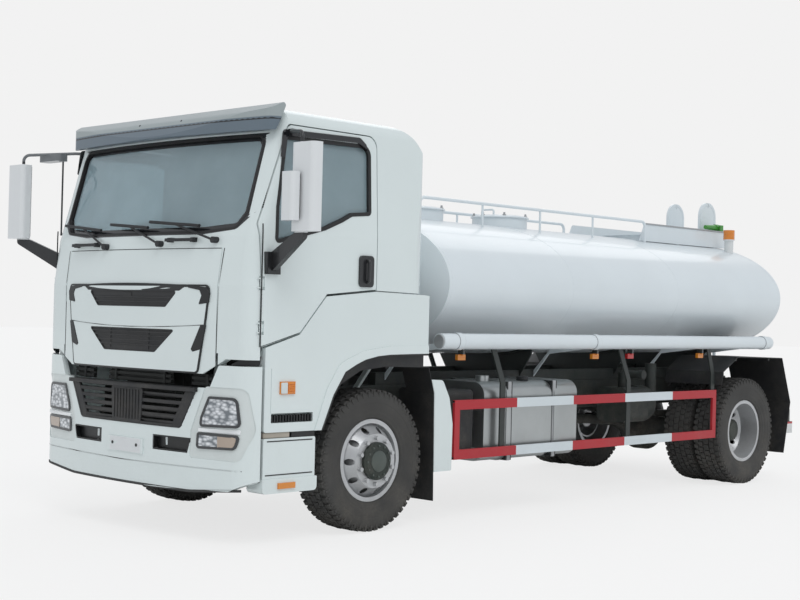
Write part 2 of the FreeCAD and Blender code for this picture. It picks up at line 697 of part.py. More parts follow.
# Door hinges: ears and pins on the shell, barrels on the door.
HINGE_X = 1224.0
HINGE_Y = DOOR_FRONT
HINGE_AT = (1480.0, 1780.0)
BARREL_HALF = 26.0
EAR_SHEET = 9.0
HINGE_PIN = 6.0
shell_parts = [shell]
for z in HINGE_AT:
    pocket = rod((HINGE_X, HINGE_Y, z - 46), (HINGE_X, HINGE_Y, z + 46), 22.0)
    door_left = door_left.cut(pocket)
    room = rod((HINGE_X, HINGE_Y, z - 46), (HINGE_X, HINGE_Y, z + 46), 17.0)
    shell_parts[0] = shell_parts[0].cut(room).cut(mirrored(room))
    ears = [
        box(HINGE_X - 20, HINGE_X + 6, HINGE_Y - 30, HINGE_Y + 6, z0, z0 + EAR_SHEET)
        for z0 in (z - BARREL_HALF - EAR_SHEET - 1, z + BARREL_HALF + 1)
    ]
    pin = rod((HINGE_X, HINGE_Y, z - 30), (HINGE_X, HINGE_Y, z + 30), HINGE_PIN)
    hinge = union(ears + [pin])
    shell_parts += [hinge, mirrored(hinge)]
    barrel = union([
        rod((HINGE_X, HINGE_Y, z - BARREL_HALF), (HINGE_X, HINGE_Y, z + BARREL_HALF), 11.0),
        box(HINGE_X - 22, HINGE_X, HINGE_Y, HINGE_Y + 40, z - BARREL_HALF, z + BARREL_HALF),
    ]).cut(rod((HINGE_X, HINGE_Y, z - 50), (HINGE_X, HINGE_Y, z + 50), HINGE_PIN + PIN_GAP))
    door_left = door_left.fuse(barrel)
# The door's deep front corner swings over the rising sill, so its foot is cut back.
door_left = door_left.cut(box(DOOR_SKIN_X - 5, HINGE_X - 22, DOOR_FRONT - 5, DOOR_FRONT + 105, 1300, 1388))
shell = shell_parts[0].multiFuse(shell_parts[1:])
parts["door_left"] = door_left
parts["door_right"] = mirrored(door_left)
parts["door_glass_left"] = door_glass
parts["door_glass_right"] = mirrored(door_glass)

# Cab floor members, tilt arms and their eyes hang from the shell.
MEMBER_IN = 470.0
MEMBER_OUT = 530.0
MEMBER_LOW = 1245.0
ARM_IN = 478.0
ARM_OUT = 522.0
EYE_RADIUS = 45.0
TILT_PIN = 22.0
member = box(MEMBER_IN, MEMBER_OUT, -1100, CAB_REAR - 20, MEMBER_LOW, CAB_FLOOR + 5)
tilt_arm = plate_x(
    (
        (TILT_Y - 30, TILT_Z - 30, 25), (-940.0, TILT_Z + 10, 40), (-850.0, MEMBER_LOW + 5),
        (-920.0, MEMBER_LOW + 5), (-985.0, TILT_Z + 90, 40), (TILT_Y - 30, TILT_Z + 35, 25),
    ),
    ARM_IN, ARM_OUT)
tilt_eye = rod((ARM_IN, TILT_Y, TILT_Z), (ARM_OUT, TILT_Y, TILT_Z), EYE_RADIUS)
tilt_bore = rod((ARM_IN - 5, TILT_Y, TILT_Z), (ARM_OUT + 5, TILT_Y, TILT_Z), TILT_PIN + PIN_GAP)
tilt_arm = union([tilt_arm, tilt_eye]).cut(tilt_bore)
shell = union([shell, member, tilt_arm, mirrored(member), mirrored(tilt_arm)])

# Shut lines of the front lid: along its top and down both sides.
LID_TOP = 2015.0
LID_SIDE = 910.0
SEAM_HALF = 3.0
SEAM_DEPTH = 5.0
seam_skin = cab_solid(-10).cut(cab_solid(SEAM_DEPTH))
for x0, x1, z0, z1 in (
    (-LID_SIDE, LID_SIDE, LID_TOP - SEAM_HALF, LID_TOP + SEAM_HALF),
    (LID_SIDE - SEAM_HALF, LID_SIDE + SEAM_HALF, CAB_EDGE - 100, LID_TOP),
    (-LID_SIDE - SEAM_HALF, SEAM_HALF - LID_SIDE, CAB_EDGE - 100, LID_TOP),
):
    shell = shell.cut(seam_skin.common(box(x0, x1, -1500, -1000, z0, z1)))
parts["cab_shell"] = shell


def nose_at(x, z):
    """Y of the cab's front skin at a point of the bowed nose."""
    for low, high in zip(CAB_LEVELS, CAB_LEVELS[1:]):
        if low[0] <= z <= high[0]:
            nose = low[1] + (high[1] - low[1]) * (z - low[0]) / (high[0] - low[0])
            return nose + CAB_BOW_RADIUS - math.sqrt(CAB_BOW_RADIUS ** 2 - x ** 2)
    return CAB_LEVELS[-1][1]


def slats(outline, count, z0, z1, gap):
    """Horizontal slots between slats, inside an (X, Z) outline."""
    step = (z1 - z0) / count
    cuts = []
    for index in range(count):
        z = z0 + step * index
        cuts.append(box(-900, 900, -1500, -1100, z + gap, z + step - gap))
    inside = plate_y([(p[0] * 0.95, p[1], *p[2:]) for p in outline], -1500, -1100)
    return group([cut.common(inside) for cut in cuts])


# Front panel with its two dark grilles, standing a little proud of the nose.
PANEL_OUT = 10.0
PANEL = (
    (-835.0, 1752.0, 30), (835.0, 1752.0, 30), (800.0, 1500.0, 400), (740.0, 1165.0, 25),
    (-740.0, 1165.0, 25), (-800.0, 1500.0, 400),
)
UPPER_GRILLE = ((-535.0, 1722.0, 15), (535.0, 1722.0, 15), (410.0, 1605.0, 25), (-410.0, 1605.0, 25))
LOWER_GRILLE = ((-515.0, 1450.0, 10), (515.0, 1450.0, 10), (305.0, 1285.0, 25), (-305.0, 1285.0, 25))
front_region = box(-1000, 1000, -1500, -1100, CAB_EDGE + 5, 1800)
panel_band = cab_solid(-PANEL_OUT).common(front_region).cut(cab_solid(-SEAT))
front_panel = panel_band.common(plate_y(PANEL, -1500, -1100))
grille_band = cab_solid(-PANEL_OUT + 5).common(front_region).cut(cab_solid(-SEAT))
grilles = []
for outline, count, z0, z1 in ((UPPER_GRILLE, 2, 1612, 1716), (LOWER_GRILLE, 4, 1294, 1442)):
    front_panel = front_panel.cut(plate_y(outline, -1500, -1100))
    face = grille_band.common(plate_y([(p[0] * 0.998, p[1], p[2]) for p in outline], -1500, -1100))
    grilles.append(face)
parts["front_panel"] = front_panel
parts["cab_grilles"] = group(grilles)

VISOR_SECTION = (
    (-1175.0, 2838.0, 10), (-1155.0, 2826.0), (-1035.0, 2826.0), (-960.0, 2995.0), (-966.0, 3028.0, 20),
    (-1110.0, 2955.0, 60),
)
visor = plate_x(VISOR_SECTION, -1205, 1205)
visor_plan = bowed_section(2780.0, -1170.0, 1205.0, 90.0, 0.0, 0).extrude(Vec(0, 0, 300))
visor = visor.common(visor_plan).cut(cab_solid(-SEAT))
parts["sun_visor"] = max(visor.Solids, key=lambda solid: solid.Volume)

# Wipers: pivot, then the blade's inner end and its tip, each as x and z on the bowed front.
WIPERS = (
    (-364.0, 2038.0, -452.0, 2163.0, -1040.0, 2216.0),
    (295.0, 2050.0, 145.0, 2168.0, -333.0, 2203.0),
    (850.0, 2071.0, 690.0, 2172.0, 150.0, 2210.0),
)
WIPER_BOSS = 22.0
WIPER_ARM = 8.0
WIPER_BLADE = 11.0
BLADE_LIFT = 34.0
BLADE_BOWS = 4


def before_nose(x, z, lift):
    """Point lift millimetres ahead of the cab's front skin."""
    return (x, nose_at(x, z) - lift, z)


skin_room = cab_solid(-SEAT)
wiper_sets = []
for pivot_x, pivot_z, heel_x, heel_z, tip_x, tip_z in WIPERS:
    blade_line = []
    for step in range(BLADE_BOWS + 1):
        share = step / BLADE_BOWS
        x = heel_x + (tip_x - heel_x) * share
        z = heel_z + (tip_z - heel_z) * share
        blade_line.append(before_nose(x, z, BLADE_LIFT))
    boss = rod(before_nose(pivot_x, pivot_z, -10.0), before_nose(pivot_x, pivot_z, 45.0), WIPER_BOSS)
    pieces = [boss.cut(skin_room), pipe((before_nose(pivot_x, pivot_z, 36.0), blade_line[2]), WIPER_ARM)]
    for start, end in zip(blade_line, blade_line[1:]):
        pieces.append(pipe((start, end), WIPER_BLADE))
    wiper_sets.append(union(pieces))
parts["wipers"] = group(wiper_sets)

dash = plate_x(
    (
        (-1190.0, 1560.0), (-1190.0, 2010.0, 60), (-980.0, 2050.0, 60), (-900.0, 1980.0, 60),
        (-960.0, 1700.0, 60), (-1060.0, 1560.0),
    ),
    -1120, 1120)
dash = dash.common(bowed_section(1300.0, -1190.0, 1120.0, 100.0, 0.0, 0).extrude(Vec(0, 0, 900)))
dash_legs = [box(x0, x1, -1180, -1080, CAB_FLOOR + FLOOR_SHEET + SEAT, 1570) for x0, x1 in ((-800, -700), (700, 800))]
WHEEL_PLACE = (600.0, -830.0, 2050.0)
steering = Part.makeTorus(215, 16, Vec(0, 0, 0), Vec(0, 0, 1))
steering = union([steering] + [
    rod((0, 0, -10), (212 * math.cos(a), 212 * math.sin(a), 0), 14.0)
    for a in (math.radians(90), math.radians(210), math.radians(330))
] + [rod((0, 0, -160), (0, 0, 20), 45.0)])
steering.rotate(Vec(0, 0, 0), Vec(1, 0, 0), 30)
steering.translate(Vec(*WHEEL_PLACE))
parts["dashboard"] = union([dash, steering] + dash_legs)

seat = union([
    box(560, 860, -480, -60, CAB_FLOOR + FLOOR_SHEET + SEAT, 1720),
    plate_x(((-560.0, 1690.0, 50), (-560.0, 1810.0, 60), (60.0, 1830.0), (60.0, 1690.0)), 400, 870),
    plate_x(((-30.0, 1760.0), (100.0, 2420.0, 40), (190.0, 2420.0, 40), (110.0, 1710.0), (20.0, 1710.0)), 410, 860),
])
bunk = box(-1050, 1050, 150, CAB_REAR - CAB_WALL - 10, 1840, 1960)
bunk_feet = [box(x0, x1, 180, 400, CAB_FLOOR + FLOOR_SHEET + SEAT, 1845) for x0, x1 in ((-850, -760), (760, 850))]
parts["seats"] = group([seat, mirrored(seat), union([bunk] + bunk_feet)])

# ================================================================ doors' fittings
HEAD_HEIGHT = 585.0
HEAD_Z = 2415.0
HEAD_HALF = 114.0
HEAD_LOW = HEAD_Z - HEAD_HEIGHT / 2
HEAD_HIGH = HEAD_Z + HEAD_HEIGHT / 2
ARM_FOOT_X = 1240.0
ARM_FOOT_Y = -1075.0
ARM_BLADE = 20.0


def mirror_head(x, y, half, depth, z0, z1):
    """Moulded mirror housing with its glass side to the rear."""
    head = plate_z(
        ((-half + 5, -depth, depth * 0.85), (half - 5, -depth, depth * 0.85),
         (half, depth * 0.93, 12), (-half, depth * 0.93, 12)), z0, z1)
    head.translate(Vec(x, y, 0))
    return head


def mirror_arms(head_x, head_y):
    """Base on the door, a tapered blade up to the head's foot and a tube from its top to the door frame."""
    base = box(1200, 1262, -1135, -1020, 1842, 1992).cut(cab_solid(-SEAT))
    top_base = box(1190, 1250, -935, -885, 2790, 2840).cut(cab_solid(-SEAT))
    reach = math.hypot(head_x - ARM_FOOT_X, head_y - ARM_FOOT_Y)
    blade = plate_y(
        ((0.0, 1848.0, 20), (0.0, 1986.0), (reach - 40, HEAD_LOW + 20), (reach, HEAD_LOW + 20),
         (reach, HEAD_LOW - 40, 30)), -ARM_BLADE, ARM_BLADE)
    turn = math.degrees(math.atan2(head_y - ARM_FOOT_Y, head_x - ARM_FOOT_X))
    blade.rotate(Vec(0, 0, 0), Vec(0, 0, 1), turn)
    blade.translate(Vec(ARM_FOOT_X, ARM_FOOT_Y, 0))
    blade = blade.cut(cab_solid(-SEAT))
    tube = pipe(
        ((head_x - 50, head_y, HEAD_HIGH - 20), (head_x - 50, head_y, 2785, 50), (1290, -980, 2815, 50),
         (1235, -910, 2815)), 12.0)
    return [max(piece.Solids, key=lambda solid: solid.Volume) for piece in (base, top_base, blade)] + [tube]


left_head = (1587.0, -1102.0)
right_head = (1587.0, -1298.0)
left_set = mirror_arms(*left_head) + [
    mirror_head(*left_head, HEAD_HALF, 45.0, HEAD_LOW, HEAD_HIGH),
    mirror_head(left_head[0] - 55, left_head[1] - 92, 65.0, 35.0, 2190, 2510),
    rod((left_head[0] - 55, left_head[1] - 92, 2350), (left_head[0] - 55, left_head[1], 2350), 14.0),
]
KERB_Z = 2770.0
right_set = mirror_arms(*right_head) + [
    mirror_head(*right_head, HEAD_HALF, 45.0, HEAD_LOW, HEAD_HIGH),
    plate_z(((1255.0, -1165.0, 40), (1545.0, -1165.0, 40), (1545.0, -1060.0, 40), (1255.0, -1060.0, 40)),
            KERB_Z - 28, KERB_Z + 28),
    rod((1250, -1120, 2150), (1250, -1120, 2745), 7.0),
    rod((1250, -1120, 2744), (1300, -1120, 2744), 7.0),
    rod((1242, -1120, 2160), (1252, -1120, 2160), 9.0),
]
GRIP_LOW = 1782.0
GRIP_HIGH = 2008.0
grip = union([
    plate_x(((-256.0, GRIP_LOW, 30), (-112.0, GRIP_LOW, 30), (-112.0, GRIP_HIGH, 30), (-256.0, GRIP_HIGH, 30)),
            CAB_HALF + SEAT, CAB_HALF + 14),
    pipe(((1245, -184, 1820), (1272, -184, 1820, 12), (1272, -184, 1970, 12), (1245, -184, 1970)), 12.0),
])
parts["mirror_left"] = group([union(left_set), grip])
parts["mirror_right"] = mirrored(group([union(right_set), grip]))

# ================================================================ springs and rear axle
LEAF_WIDTH = 76.0
LEAF_IN = RAIL_OUT - RAIL_FLANGE + 2.0
LEAF_SHEET = 14.0
# Axle position, eye distance, eye height, height of the lowest leaf, leaf lengths.
SPRINGS = (
    (0.0, 760.0, 680.0, 505.0, (760.0, 700.0, 560.0, 400.0)),
    (WHEELBASE, 800.0, 700.0, AXLE_Z + AXLE_TUBE_RADIUS + 20, (800.0, 720.0, 560.0, 400.0, 240.0)),
)
spring_sets = []
for axle_y, eye_y, eye_z, low_z, lengths in SPRINGS:
    pack_top = low_z + LEAF_SHEET * len(lengths)
    rise = eye_z - pack_top
    pieces = []
    for index, length in enumerate(lengths):
        z = pack_top - LEAF_SHEET * (index + 1)
        end_z = z + rise * length / eye_y
        radius = 0.9 * length / math.tan(math.atan2(rise, eye_y) / 2 * 1.0) * 0.5
        pieces.append(plate_x(
            (
                (-length, end_z), (0.0, z, radius), (length, end_z),
                (length, end_z + LEAF_SHEET), (0.0, z + LEAF_SHEET, radius), (-length, end_z + LEAF_SHEET),
            ),
            LEAF_IN, LEAF_IN + LEAF_WIDTH))
    pieces.append(box(LEAF_IN - 4, LEAF_IN + LEAF_WIDTH + 4, -70, 70, low_z - 20 + SEAT, pack_top + 30))
    for end in (-1, 1):
        eye = rod((LEAF_IN, end * eye_y, eye_z + 7), (LEAF_IN + LEAF_WIDTH, end * eye_y, eye_z + 7), 30.0)
        hanger = plate_x(
            ((end * eye_y - 60, RAIL_BOTTOM - SEAT), (end * eye_y - 30, eye_z, 20),
             (end * eye_y + 30, eye_z, 20), (end * eye_y + 60, RAIL_BOTTOM - SEAT)),
            LEAF_IN + 6, LEAF_IN + LEAF_WIDTH - 6)
        pieces.append(eye)
        pieces.append(hanger)
    spring_sets.append(moved(union(pieces), 0, axle_y, 0))
parts["leaf_springs"] = group([item for one in spring_sets for item in (one, mirrored(one))])

DIFF_RADIUS = 272.0
diff = turned_x(
    (
        (-330.0, 0), (-330.0, 80.0), (-190.0, 150.0, 80), (-90.0, DIFF_RADIUS, 60),
        (90.0, DIFF_RADIUS, 60), (190.0, 150.0, 80), (330.0, 80.0), (330.0, 0),
    ),
    0, WHEELBASE, AXLE_Z)
tube = rod((-REAR_TWIN_X - AXLE_TUBE_END, WHEELBASE, AXLE_Z), (REAR_TWIN_X + AXLE_TUBE_END, WHEELBASE, AXLE_Z),
           AXLE_TUBE_RADIUS)
DIFF_NOSE = (WHEELBASE - 430.0, AXLE_Z + 40.0)
nose = Part.makeCone(75, 150, 250, Vec(0, DIFF_NOSE[0], DIFF_NOSE[1]), Vec(0, 1, 0))
parts["rear_axle"] = union([diff, tube, nose])

# ================================================================ power train
GEARBOX_REAR = 1010.0
SHAFT_Z = 800.0
engine = box(-300, 300, -700, 300, 560, 1440)
mounts = [box(x0, x1, y0, y0 + 90, 860, 930) for x0, x1 in ((-INSIDE, -290), (290, INSIDE)) for y0 in (-560, 150)]
gearbox = plate_y(((-190.0, 660.0, 50), (190.0, 660.0, 50), (190.0, 1000.0, 50), (-190.0, 1000.0, 50)),
                  295, GEARBOX_REAR)
shaft = rod((0, GEARBOX_REAR - 5, SHAFT_Z), (0, DIFF_NOSE[0] - 3.6, DIFF_NOSE[1]), 48.0)
radiator = box(-340, 340, -1100, -1030, 620, 1245)
brackets = [box(x0, x1, -1090, -1040, 800, 850) for x0, x1 in ((-INSIDE, -335), (335, INSIDE))]
fan = rod((0, -1035, 930), (0, -695, 930), 60.0)
parts["powertrain"] = union([engine, gearbox, shaft, radiator, fan] + mounts + brackets)

# ================================================================ chassis equipment
FUEL = (505.0, 1120.0, 1300.0, 2530.0, 430.0, 1066.0)
x0, x1, y0, y1, z0, z1 = FUEL
ROUND = 110.0
fuel = plate_y(((x0, z0, ROUND), (x1, z0, ROUND), (x1, z1, ROUND), (x0, z1, ROUND)), y0, y1)
straps = []
for y in (y0 + 300, y1 - 300):
    straps.append(plate_y(
        ((x0 - 8, z0 - 8, ROUND), (x1 + 8, z0 - 8, ROUND), (x1 + 8, z1 + 8, ROUND), (x0 - 8, z1 + 8, ROUND)),
        y - 25, y + 25))
    straps.append(box(RAIL_OUT + SEAT, x0 + 10, y - 40, y + 40, 780, 1000))
cap = rod((940, y0 + 180, z1 - 10), (940, y0 + 180, z1 + 45), 55.0)
parts["fuel_tank"] = union([fuel, cap] + straps)

air_box = plate_y(((560.0, 520.0, 40), (1080.0, 520.0, 40), (1080.0, 1010.0, 40), (560.0, 1010.0, 40)), 900, 1210)
air_arm = box(RAIL_OUT + SEAT, 565, 1000, 1100, 800, 900)
battery = box(-1100, -560, 1000, 1620, 500, 960)
battery_arm = box(-565, -RAIL_OUT - SEAT, 1200, 1400, 780, 880)
bottles = []
for z in (640.0, 900.0):
    bottles.append(rod((-780, 1800, z), (-780, 2600, z), 120.0))
bottle_arm = box(-690, -RAIL_OUT - SEAT, 2150, 2230, 780, 980)
bottle_post = box(-790, -680, 2150, 2230, 640, 900)
parts["equipment_boxes"] = group([
    union([air_box, air_arm]), union([battery, battery_arm]), union(bottles + [bottle_arm, bottle_post])])

# ================================================================ side tubes and guards
TUBE_X = 1220.0
TUBE_Z = 1396.0
TUBE_RADIUS = 62.0
TUBE_FRONT = 640.0
TUBE_REAR = 5590.0
TUBE_BANDS = (842.0, 2623.0, 5471.0)
tube_pieces = [rod((TUBE_X, TUBE_FRONT, TUBE_Z), (TUBE_X, TUBE_REAR, TUBE_Z), TUBE_RADIUS)]
for y in TUBE_BANDS:
    tube_pieces.append(rod((TUBE_X, y - 28, TUBE_Z), (TUBE_X, y + 28, TUBE_Z), TUBE_RADIUS + 6))
for y in (870.0, 2800.0, 4600.0, 5471.0):
    tube_pieces.append(plate_y(
        ((CRADLE_OUT + SEAT, 1060.0), (600.0, 1270.0), (TUBE_X - 40, TUBE_Z - 40), (TUBE_X - 40, TUBE_Z + 10),
         (620.0, 1320.0), (CRADLE_OUT + SEAT, 1115.0)), y - 5, y + 5))
parts["side_tubes"] = pair(union(tube_pieces))

GUARD_X = 1172.0
GUARD_FRONT = 860.0
GUARD_REAR = 4660.0
GUARD_DEPTH = 28.0
GUARD_FACE = GUARD_X + GUARD_DEPTH
GUARD_HEIGHT = 75.0
GUARD_SHEET = 4.0
GUARD_LIP = 16.0
GUARD_LOW = 480.0
GUARD_HIGH = 865.0
GUARD_POST = 60.0


def guard_rail(z):
    """Lipped channel with its open side to the truck."""
    top = z + GUARD_HEIGHT
    lip_x = GUARD_X + GUARD_SHEET
    web_x = GUARD_FACE - GUARD_SHEET
    return plate_y(
        (
            (GUARD_X, z), (GUARD_FACE, z), (GUARD_FACE, top), (GUARD_X, top),
            (GUARD_X, top - GUARD_LIP), (lip_x, top - GUARD_LIP), (lip_x, top - GUARD_SHEET),
            (web_x, top - GUARD_SHEET), (web_x, z + GUARD_SHEET), (lip_x, z + GUARD_SHEET),
            (lip_x, z + GUARD_LIP), (GUARD_X, z + GUARD_LIP),
        ),
        GUARD_FRONT, GUARD_REAR)


guard = [guard_rail(GUARD_LOW), guard_rail(GUARD_HIGH)]
for y in (GUARD_FRONT, GUARD_REAR - GUARD_POST):
    guard.append(box(GUARD_X, GUARD_FACE, y, y + GUARD_POST, GUARD_LOW + 20, GUARD_HIGH + GUARD_HEIGHT - 20))
# Brackets: Y under the tube, Z under the tube, Y at the guard, Z at the bend.
for y0, z0, y1, z1 in ((1324, 1334, 1466, 1066), (3065, 1334, 3225, 1054), (4530, 1334, 4630, 1100)):
    guard.append(plate_x(
        ((y0 - 30, z0 + 40), (y1 - 30, z1), (y1 - 30, 480), (y1 + 30, 480), (y1 + 30, z1), (y0 + 30, z0 + 40)),
        GUARD_X - 10, GUARD_X + 4))
tube_room = rod((TUBE_X, GUARD_FRONT, TUBE_Z), (TUBE_X, GUARD_REAR, TUBE_Z), TUBE_RADIUS + SEAT)
parts["side_guards"] = pair(union(guard).cut(tube_room))

# ================================================================ mudguards
def strip(points, thick):
    """Outline of a bent sheet: the (a, b) line and its copy offset by thick."""
    normals = []
    for (a0, b0), (a1, b1) in zip(points, points[1:]):
        length = math.hypot(a1 - a0, b1 - b0)
        normals.append(((b0 - b1) / length, (a1 - a0) / length))
    shifted = []
    for index, (a, b) in enumerate(points):
        near = normals[max(index - 1, 0)]
        far = normals[min(index, len(normals) - 1)]
        scale = thick / (1 + near[0] * far[0] + near[1] * far[1])
        shifted.append((a + (near[0] + far[0]) * scale, b + (near[1] + far[1]) * scale))
    return list(points) + shifted[::-1]


REAR_GUARD = ((4700.0, 985.0), (4725.0, 1110.0), (4990.0, 1250.0), (5857.0, 1238.0), (6043.0, 785.0),
              (5925.0, 270.0))
FRONT_GUARD = ((-575.0, 774.0), (-504.0, 925.0), (-363.0, 1084.0), (-166.0, 1181.0), (91.0, 1207.0),
               (560.0, 1196.0), (622.0, 1000.0), (640.0, 180.0))
GUARD_THICK = 5.0
rear_guard = plate_x(strip(REAR_GUARD, GUARD_THICK), 590, 1236)
rear_arms = [
    plate_y(((RAIL_OUT + SEAT, 930), (RAIL_OUT + SEAT, 1000), (600, 1246), (1200, 1246), (1200, 1215),
             (620, 1190)), y - 15, y + 15) for y in (5010.0, 5650.0)
]
FRONT_GUARD_IN = 905.0
FRONT_GUARD_OUT = 1190.0
front_guard = plate_x(strip(FRONT_GUARD, GUARD_THICK), FRONT_GUARD_IN, FRONT_GUARD_OUT)
front_arms = [
    plate_y(((RAIL_OUT + SEAT, 1005), (560, 1225), (920, 1210), (1000, 1204), (1000, 1180), (580, 1185), (RAIL_OUT + SEAT, 940)),
            y - 15, y + 15) for y in (300.0,)
]
# Side flange that closes the gap between the mudguard and the white arch.
FLANGE_RISE = 95.0
STEP_REAR = -602.0
FLANGE_OUT = FRONT_GUARD_OUT - 1.5
flange = plate_x(strip(FRONT_GUARD[:6], FLANGE_RISE), FLANGE_OUT - 10, FLANGE_OUT)
flange = flange.common(box(1100, 1200, STEP_REAR + SEAT, CAB_REAR, 700, 1320))
parts["mudguards"] = pair(group([union([rear_guard] + rear_arms), union([front_guard, flange] + front_arms)]))

# ================================================================ step panels
FENDER_X = 1190.0
FENDER = (
    (-1112.0, 775.0, 20), (-1112.0, SILL_LINE[0][1] - PANEL_GAP + 4), (-805.0, 1446.0 - PANEL_GAP),
    (-560.0, 1714.0 - PANEL_GAP), (-70.0, 1761.0 - PANEL_GAP), (440.0, 1750.0 - PANEL_GAP),
    (CAB_REAR, 1745.0 - PANEL_GAP), (CAB_REAR, 1301.0), (88.0, 1295.0, 300),
    (-169.0, 1260.0, 200), (-366.0, 1176.0, 150), (-478.0, 1016.0, 200), (-585.0, 774.0),
)
ARCH_BAND = (
    (-650.0, 774.0), (-545.0, 1050.0, 150), (-420.0, 1235.0, 150), (-190.0, 1325.0, 150),
    (88.0, 1360.0, 200), (CAB_REAR, 1366.0), (CAB_REAR, 1301.0), (88.0, 1295.0, 300),
    (-169.0, 1260.0, 200), (-366.0, 1176.0, 150), (-478.0, 1016.0, 200), (-585.0, 774.0),
)
fender = plate_x(FENDER, FENDER_X, CAB_HALF)
arch = plate_x(ARCH_BAND, FENDER_X, CAB_HALF + 8)
step_block = box(1030, FENDER_X + 5, -1112, STEP_REAR, 775, 1320)
TREAD_SLOT = plate_x(((-1050.0, 838.0, 8), (-1050.0, 903.0, 8), (-665.0, 903.0, 8), (-665.0, 838.0, 8)), 1165, 1300)
LID_GROOVE = box(CAB_HALF - 4, CAB_HALF + 10, -1058, -1052, 903, 1205)
LEDGE_OUT = CAB_HALF + 8.0
lower_step = plate_x(((-1112.0, 400.0), (-1112.0, 735.0, 15), (-638.0, 735.0, 15), (-638.0, 400.0)), 1030, CAB_HALF)
ledge = plate_x(((-1118.0, 362.0, 30), (-1118.0, 462.0, 8), (-622.0, 462.0, 8), (-622.0, 362.0, 30)), 1080, LEDGE_OUT)
step_post = box(1040, 1180, -1100, -640, 730, 780)
step_arm = box(RAIL_OUT + SEAT, 1035, -860, -790, 780, 860)
rear_post = plate_y(((RAIL_OUT + SEAT, 1010), (640, 1262), (FENDER_X + 4, 1400), (FENDER_X + 4, 1345), (660, 1225),
                     (RAIL_OUT + SEAT, 950)), CAB_REAR + 6, CAB_REAR + 32)
rear_tab = box(1150, FENDER_X + 4, CAB_REAR - 40, CAB_REAR + 20, 1345, 1400)
panels = union([fender, arch, step_block, lower_step, ledge, step_post, step_arm, rear_post, rear_tab])
panels = panels.cut(TREAD_SLOT).cut(LID_GROOVE)
# White quarter panel that caps the mudguard behind each front wheel, open to the inside.
knee_y, knee_z = FRONT_GUARD[-2]
foot_y, foot_z = FRONT_GUARD[-1]
QUARTER_FOOT = 400.0
QUARTER_SHEET = 5.0
QUARTER_EDGE = (
    (838.0, QUARTER_FOOT, 10), (842.0, 760.0), (800.0, 960.0, 60), (720.0, 1098.0, 40),
    (knee_y - 30, 1104.0, 10), (knee_y + 2, knee_z), (knee_y + 2 + (foot_y - knee_y) * 0.7, QUARTER_FOOT),
)
quarter_room = plate_x(strip(FRONT_GUARD, GUARD_THICK + SEAT), FRONT_GUARD_IN, FRONT_GUARD_OUT + 20)
quarter = plate_x(QUARTER_EDGE, FRONT_GUARD_OUT - 90, FRONT_GUARD_OUT + QUARTER_SHEET).cut(quarter_room)
quarter_hollow = plate_x(
    ((825.0, QUARTER_FOOT - 20), (828.0, 760.0), (788.0, 950.0, 50), (712.0, 1084.0, 30),
     (knee_y - 10, 1090.0, 10), (knee_y + 20, knee_z), (foot_y + 18, QUARTER_FOOT - 20)),
    FRONT_GUARD_OUT - 100, FRONT_GUARD_OUT)
parts["step_panels"] = pair(group([panels, quarter.cut(quarter_hollow)]))

# ================================================================ front bumper
BUMPER_HALF = 1245.0
BUMPER_REAR = -1135.0
BUMPER_CORNER = 190.0
BUMPER_TOP = 1060.0
WING_TOP = 1218.0


def bumper_solid(inset, z0, z1):
    block = bowed_section(z0, FRONT_FACE, BUMPER_HALF, BUMPER_CORNER, 0.0, inset).extrude(Vec(0, 0, z1 - z0))
    return block.common(box(-1300, 1300, -1500, BUMPER_REAR, z0, z1))


def cut_y(outline):
    return plate_y(outline, -1500, -1100)


BUMPER_FACE = (
    (-1300.0, 480.0), (-1060.0, 372.0, 60), (-700.0, 342.0, 100), (700.0, 342.0, 100), (1060.0, 372.0, 60),
    (1300.0, 480.0), (1300.0, WING_TOP), (950.0, WING_TOP, 20), (870.0, BUMPER_TOP, 20),
    (-870.0, BUMPER_TOP, 20), (-950.0, WING_TOP, 20), (-1300.0, WING_TOP),
)
MOUTH = ((-790.0, 1100.0), (790.0, 1100.0), (755.0, 1050.0, 30), (600.0, 770.0, 40), (-600.0, 770.0, 40),
         (-755.0, 1050.0, 30))
SLOT = ((310.0, 605.0), (367.0, 605.0), (673.0, 605.0), (705.0, 710.0), (310.0, 710.0))
LAMP_FRAME = ((830.0, 1070.0, 25), (1185.0, 1070.0, 60), (1225.0, 780.0, 200), (1150.0, 576.0, 60),
              (690.0, 576.0, 25), (700.0, 760.0, 60))
LAMP_LENS = ((868.0, 1005.0, 25), (1120.0, 1005.0, 50), (1150.0, 790.0, 200), (1100.0, 635.0, 50),
             (745.0, 635.0, 25), (752.0, 770.0, 60))
bumper = bumper_solid(0, 340, WING_TOP).cut(bumper_solid(45, 300, WING_TOP + 50))
bumper = bumper.common(cut_y(BUMPER_FACE))
for outline in (MOUTH, SLOT, [(-p[0], p[1]) for p in SLOT]):
    bumper = bumper.cut(cut_y(outline))
lamp_hole = cut_y(LAMP_FRAME)
bumper = bumper.cut(lamp_hole).cut(mirrored(lamp_hole))
bumper_arm = box(355, 425, -1293, -1150, 640, RAIL_BOTTOM - SEAT)
plate_pad = box(-210, 210, -1352, -1320, 560, 668)
bumper = union([bumper, bumper_arm, mirrored(bumper_arm), plate_pad])
parts["front_bumper"] = bumper

mouth_band = bumper_solid(18, 760, BUMPER_TOP).cut(bumper_solid(44, 700, BUMPER_TOP + 50))
mouth_band = mouth_band.common(cut_y([(p[0] * 0.999, p[1] + 0.5, *p[2:]) for p in MOUTH]))
mouth_band = mouth_band.cut(slats(MOUTH, 5, 785, 1045, 11))
parts["bumper_grille"] = mouth_band

lamp_body = bumper_solid(6, 560, 1080).cut(bumper_solid(60, 500, 1100))
frame_left = lamp_body.common(cut_y([(p[0], p[1], *p[2:]) for p in LAMP_FRAME]))
parts["headlamps"] = pair(frame_left)

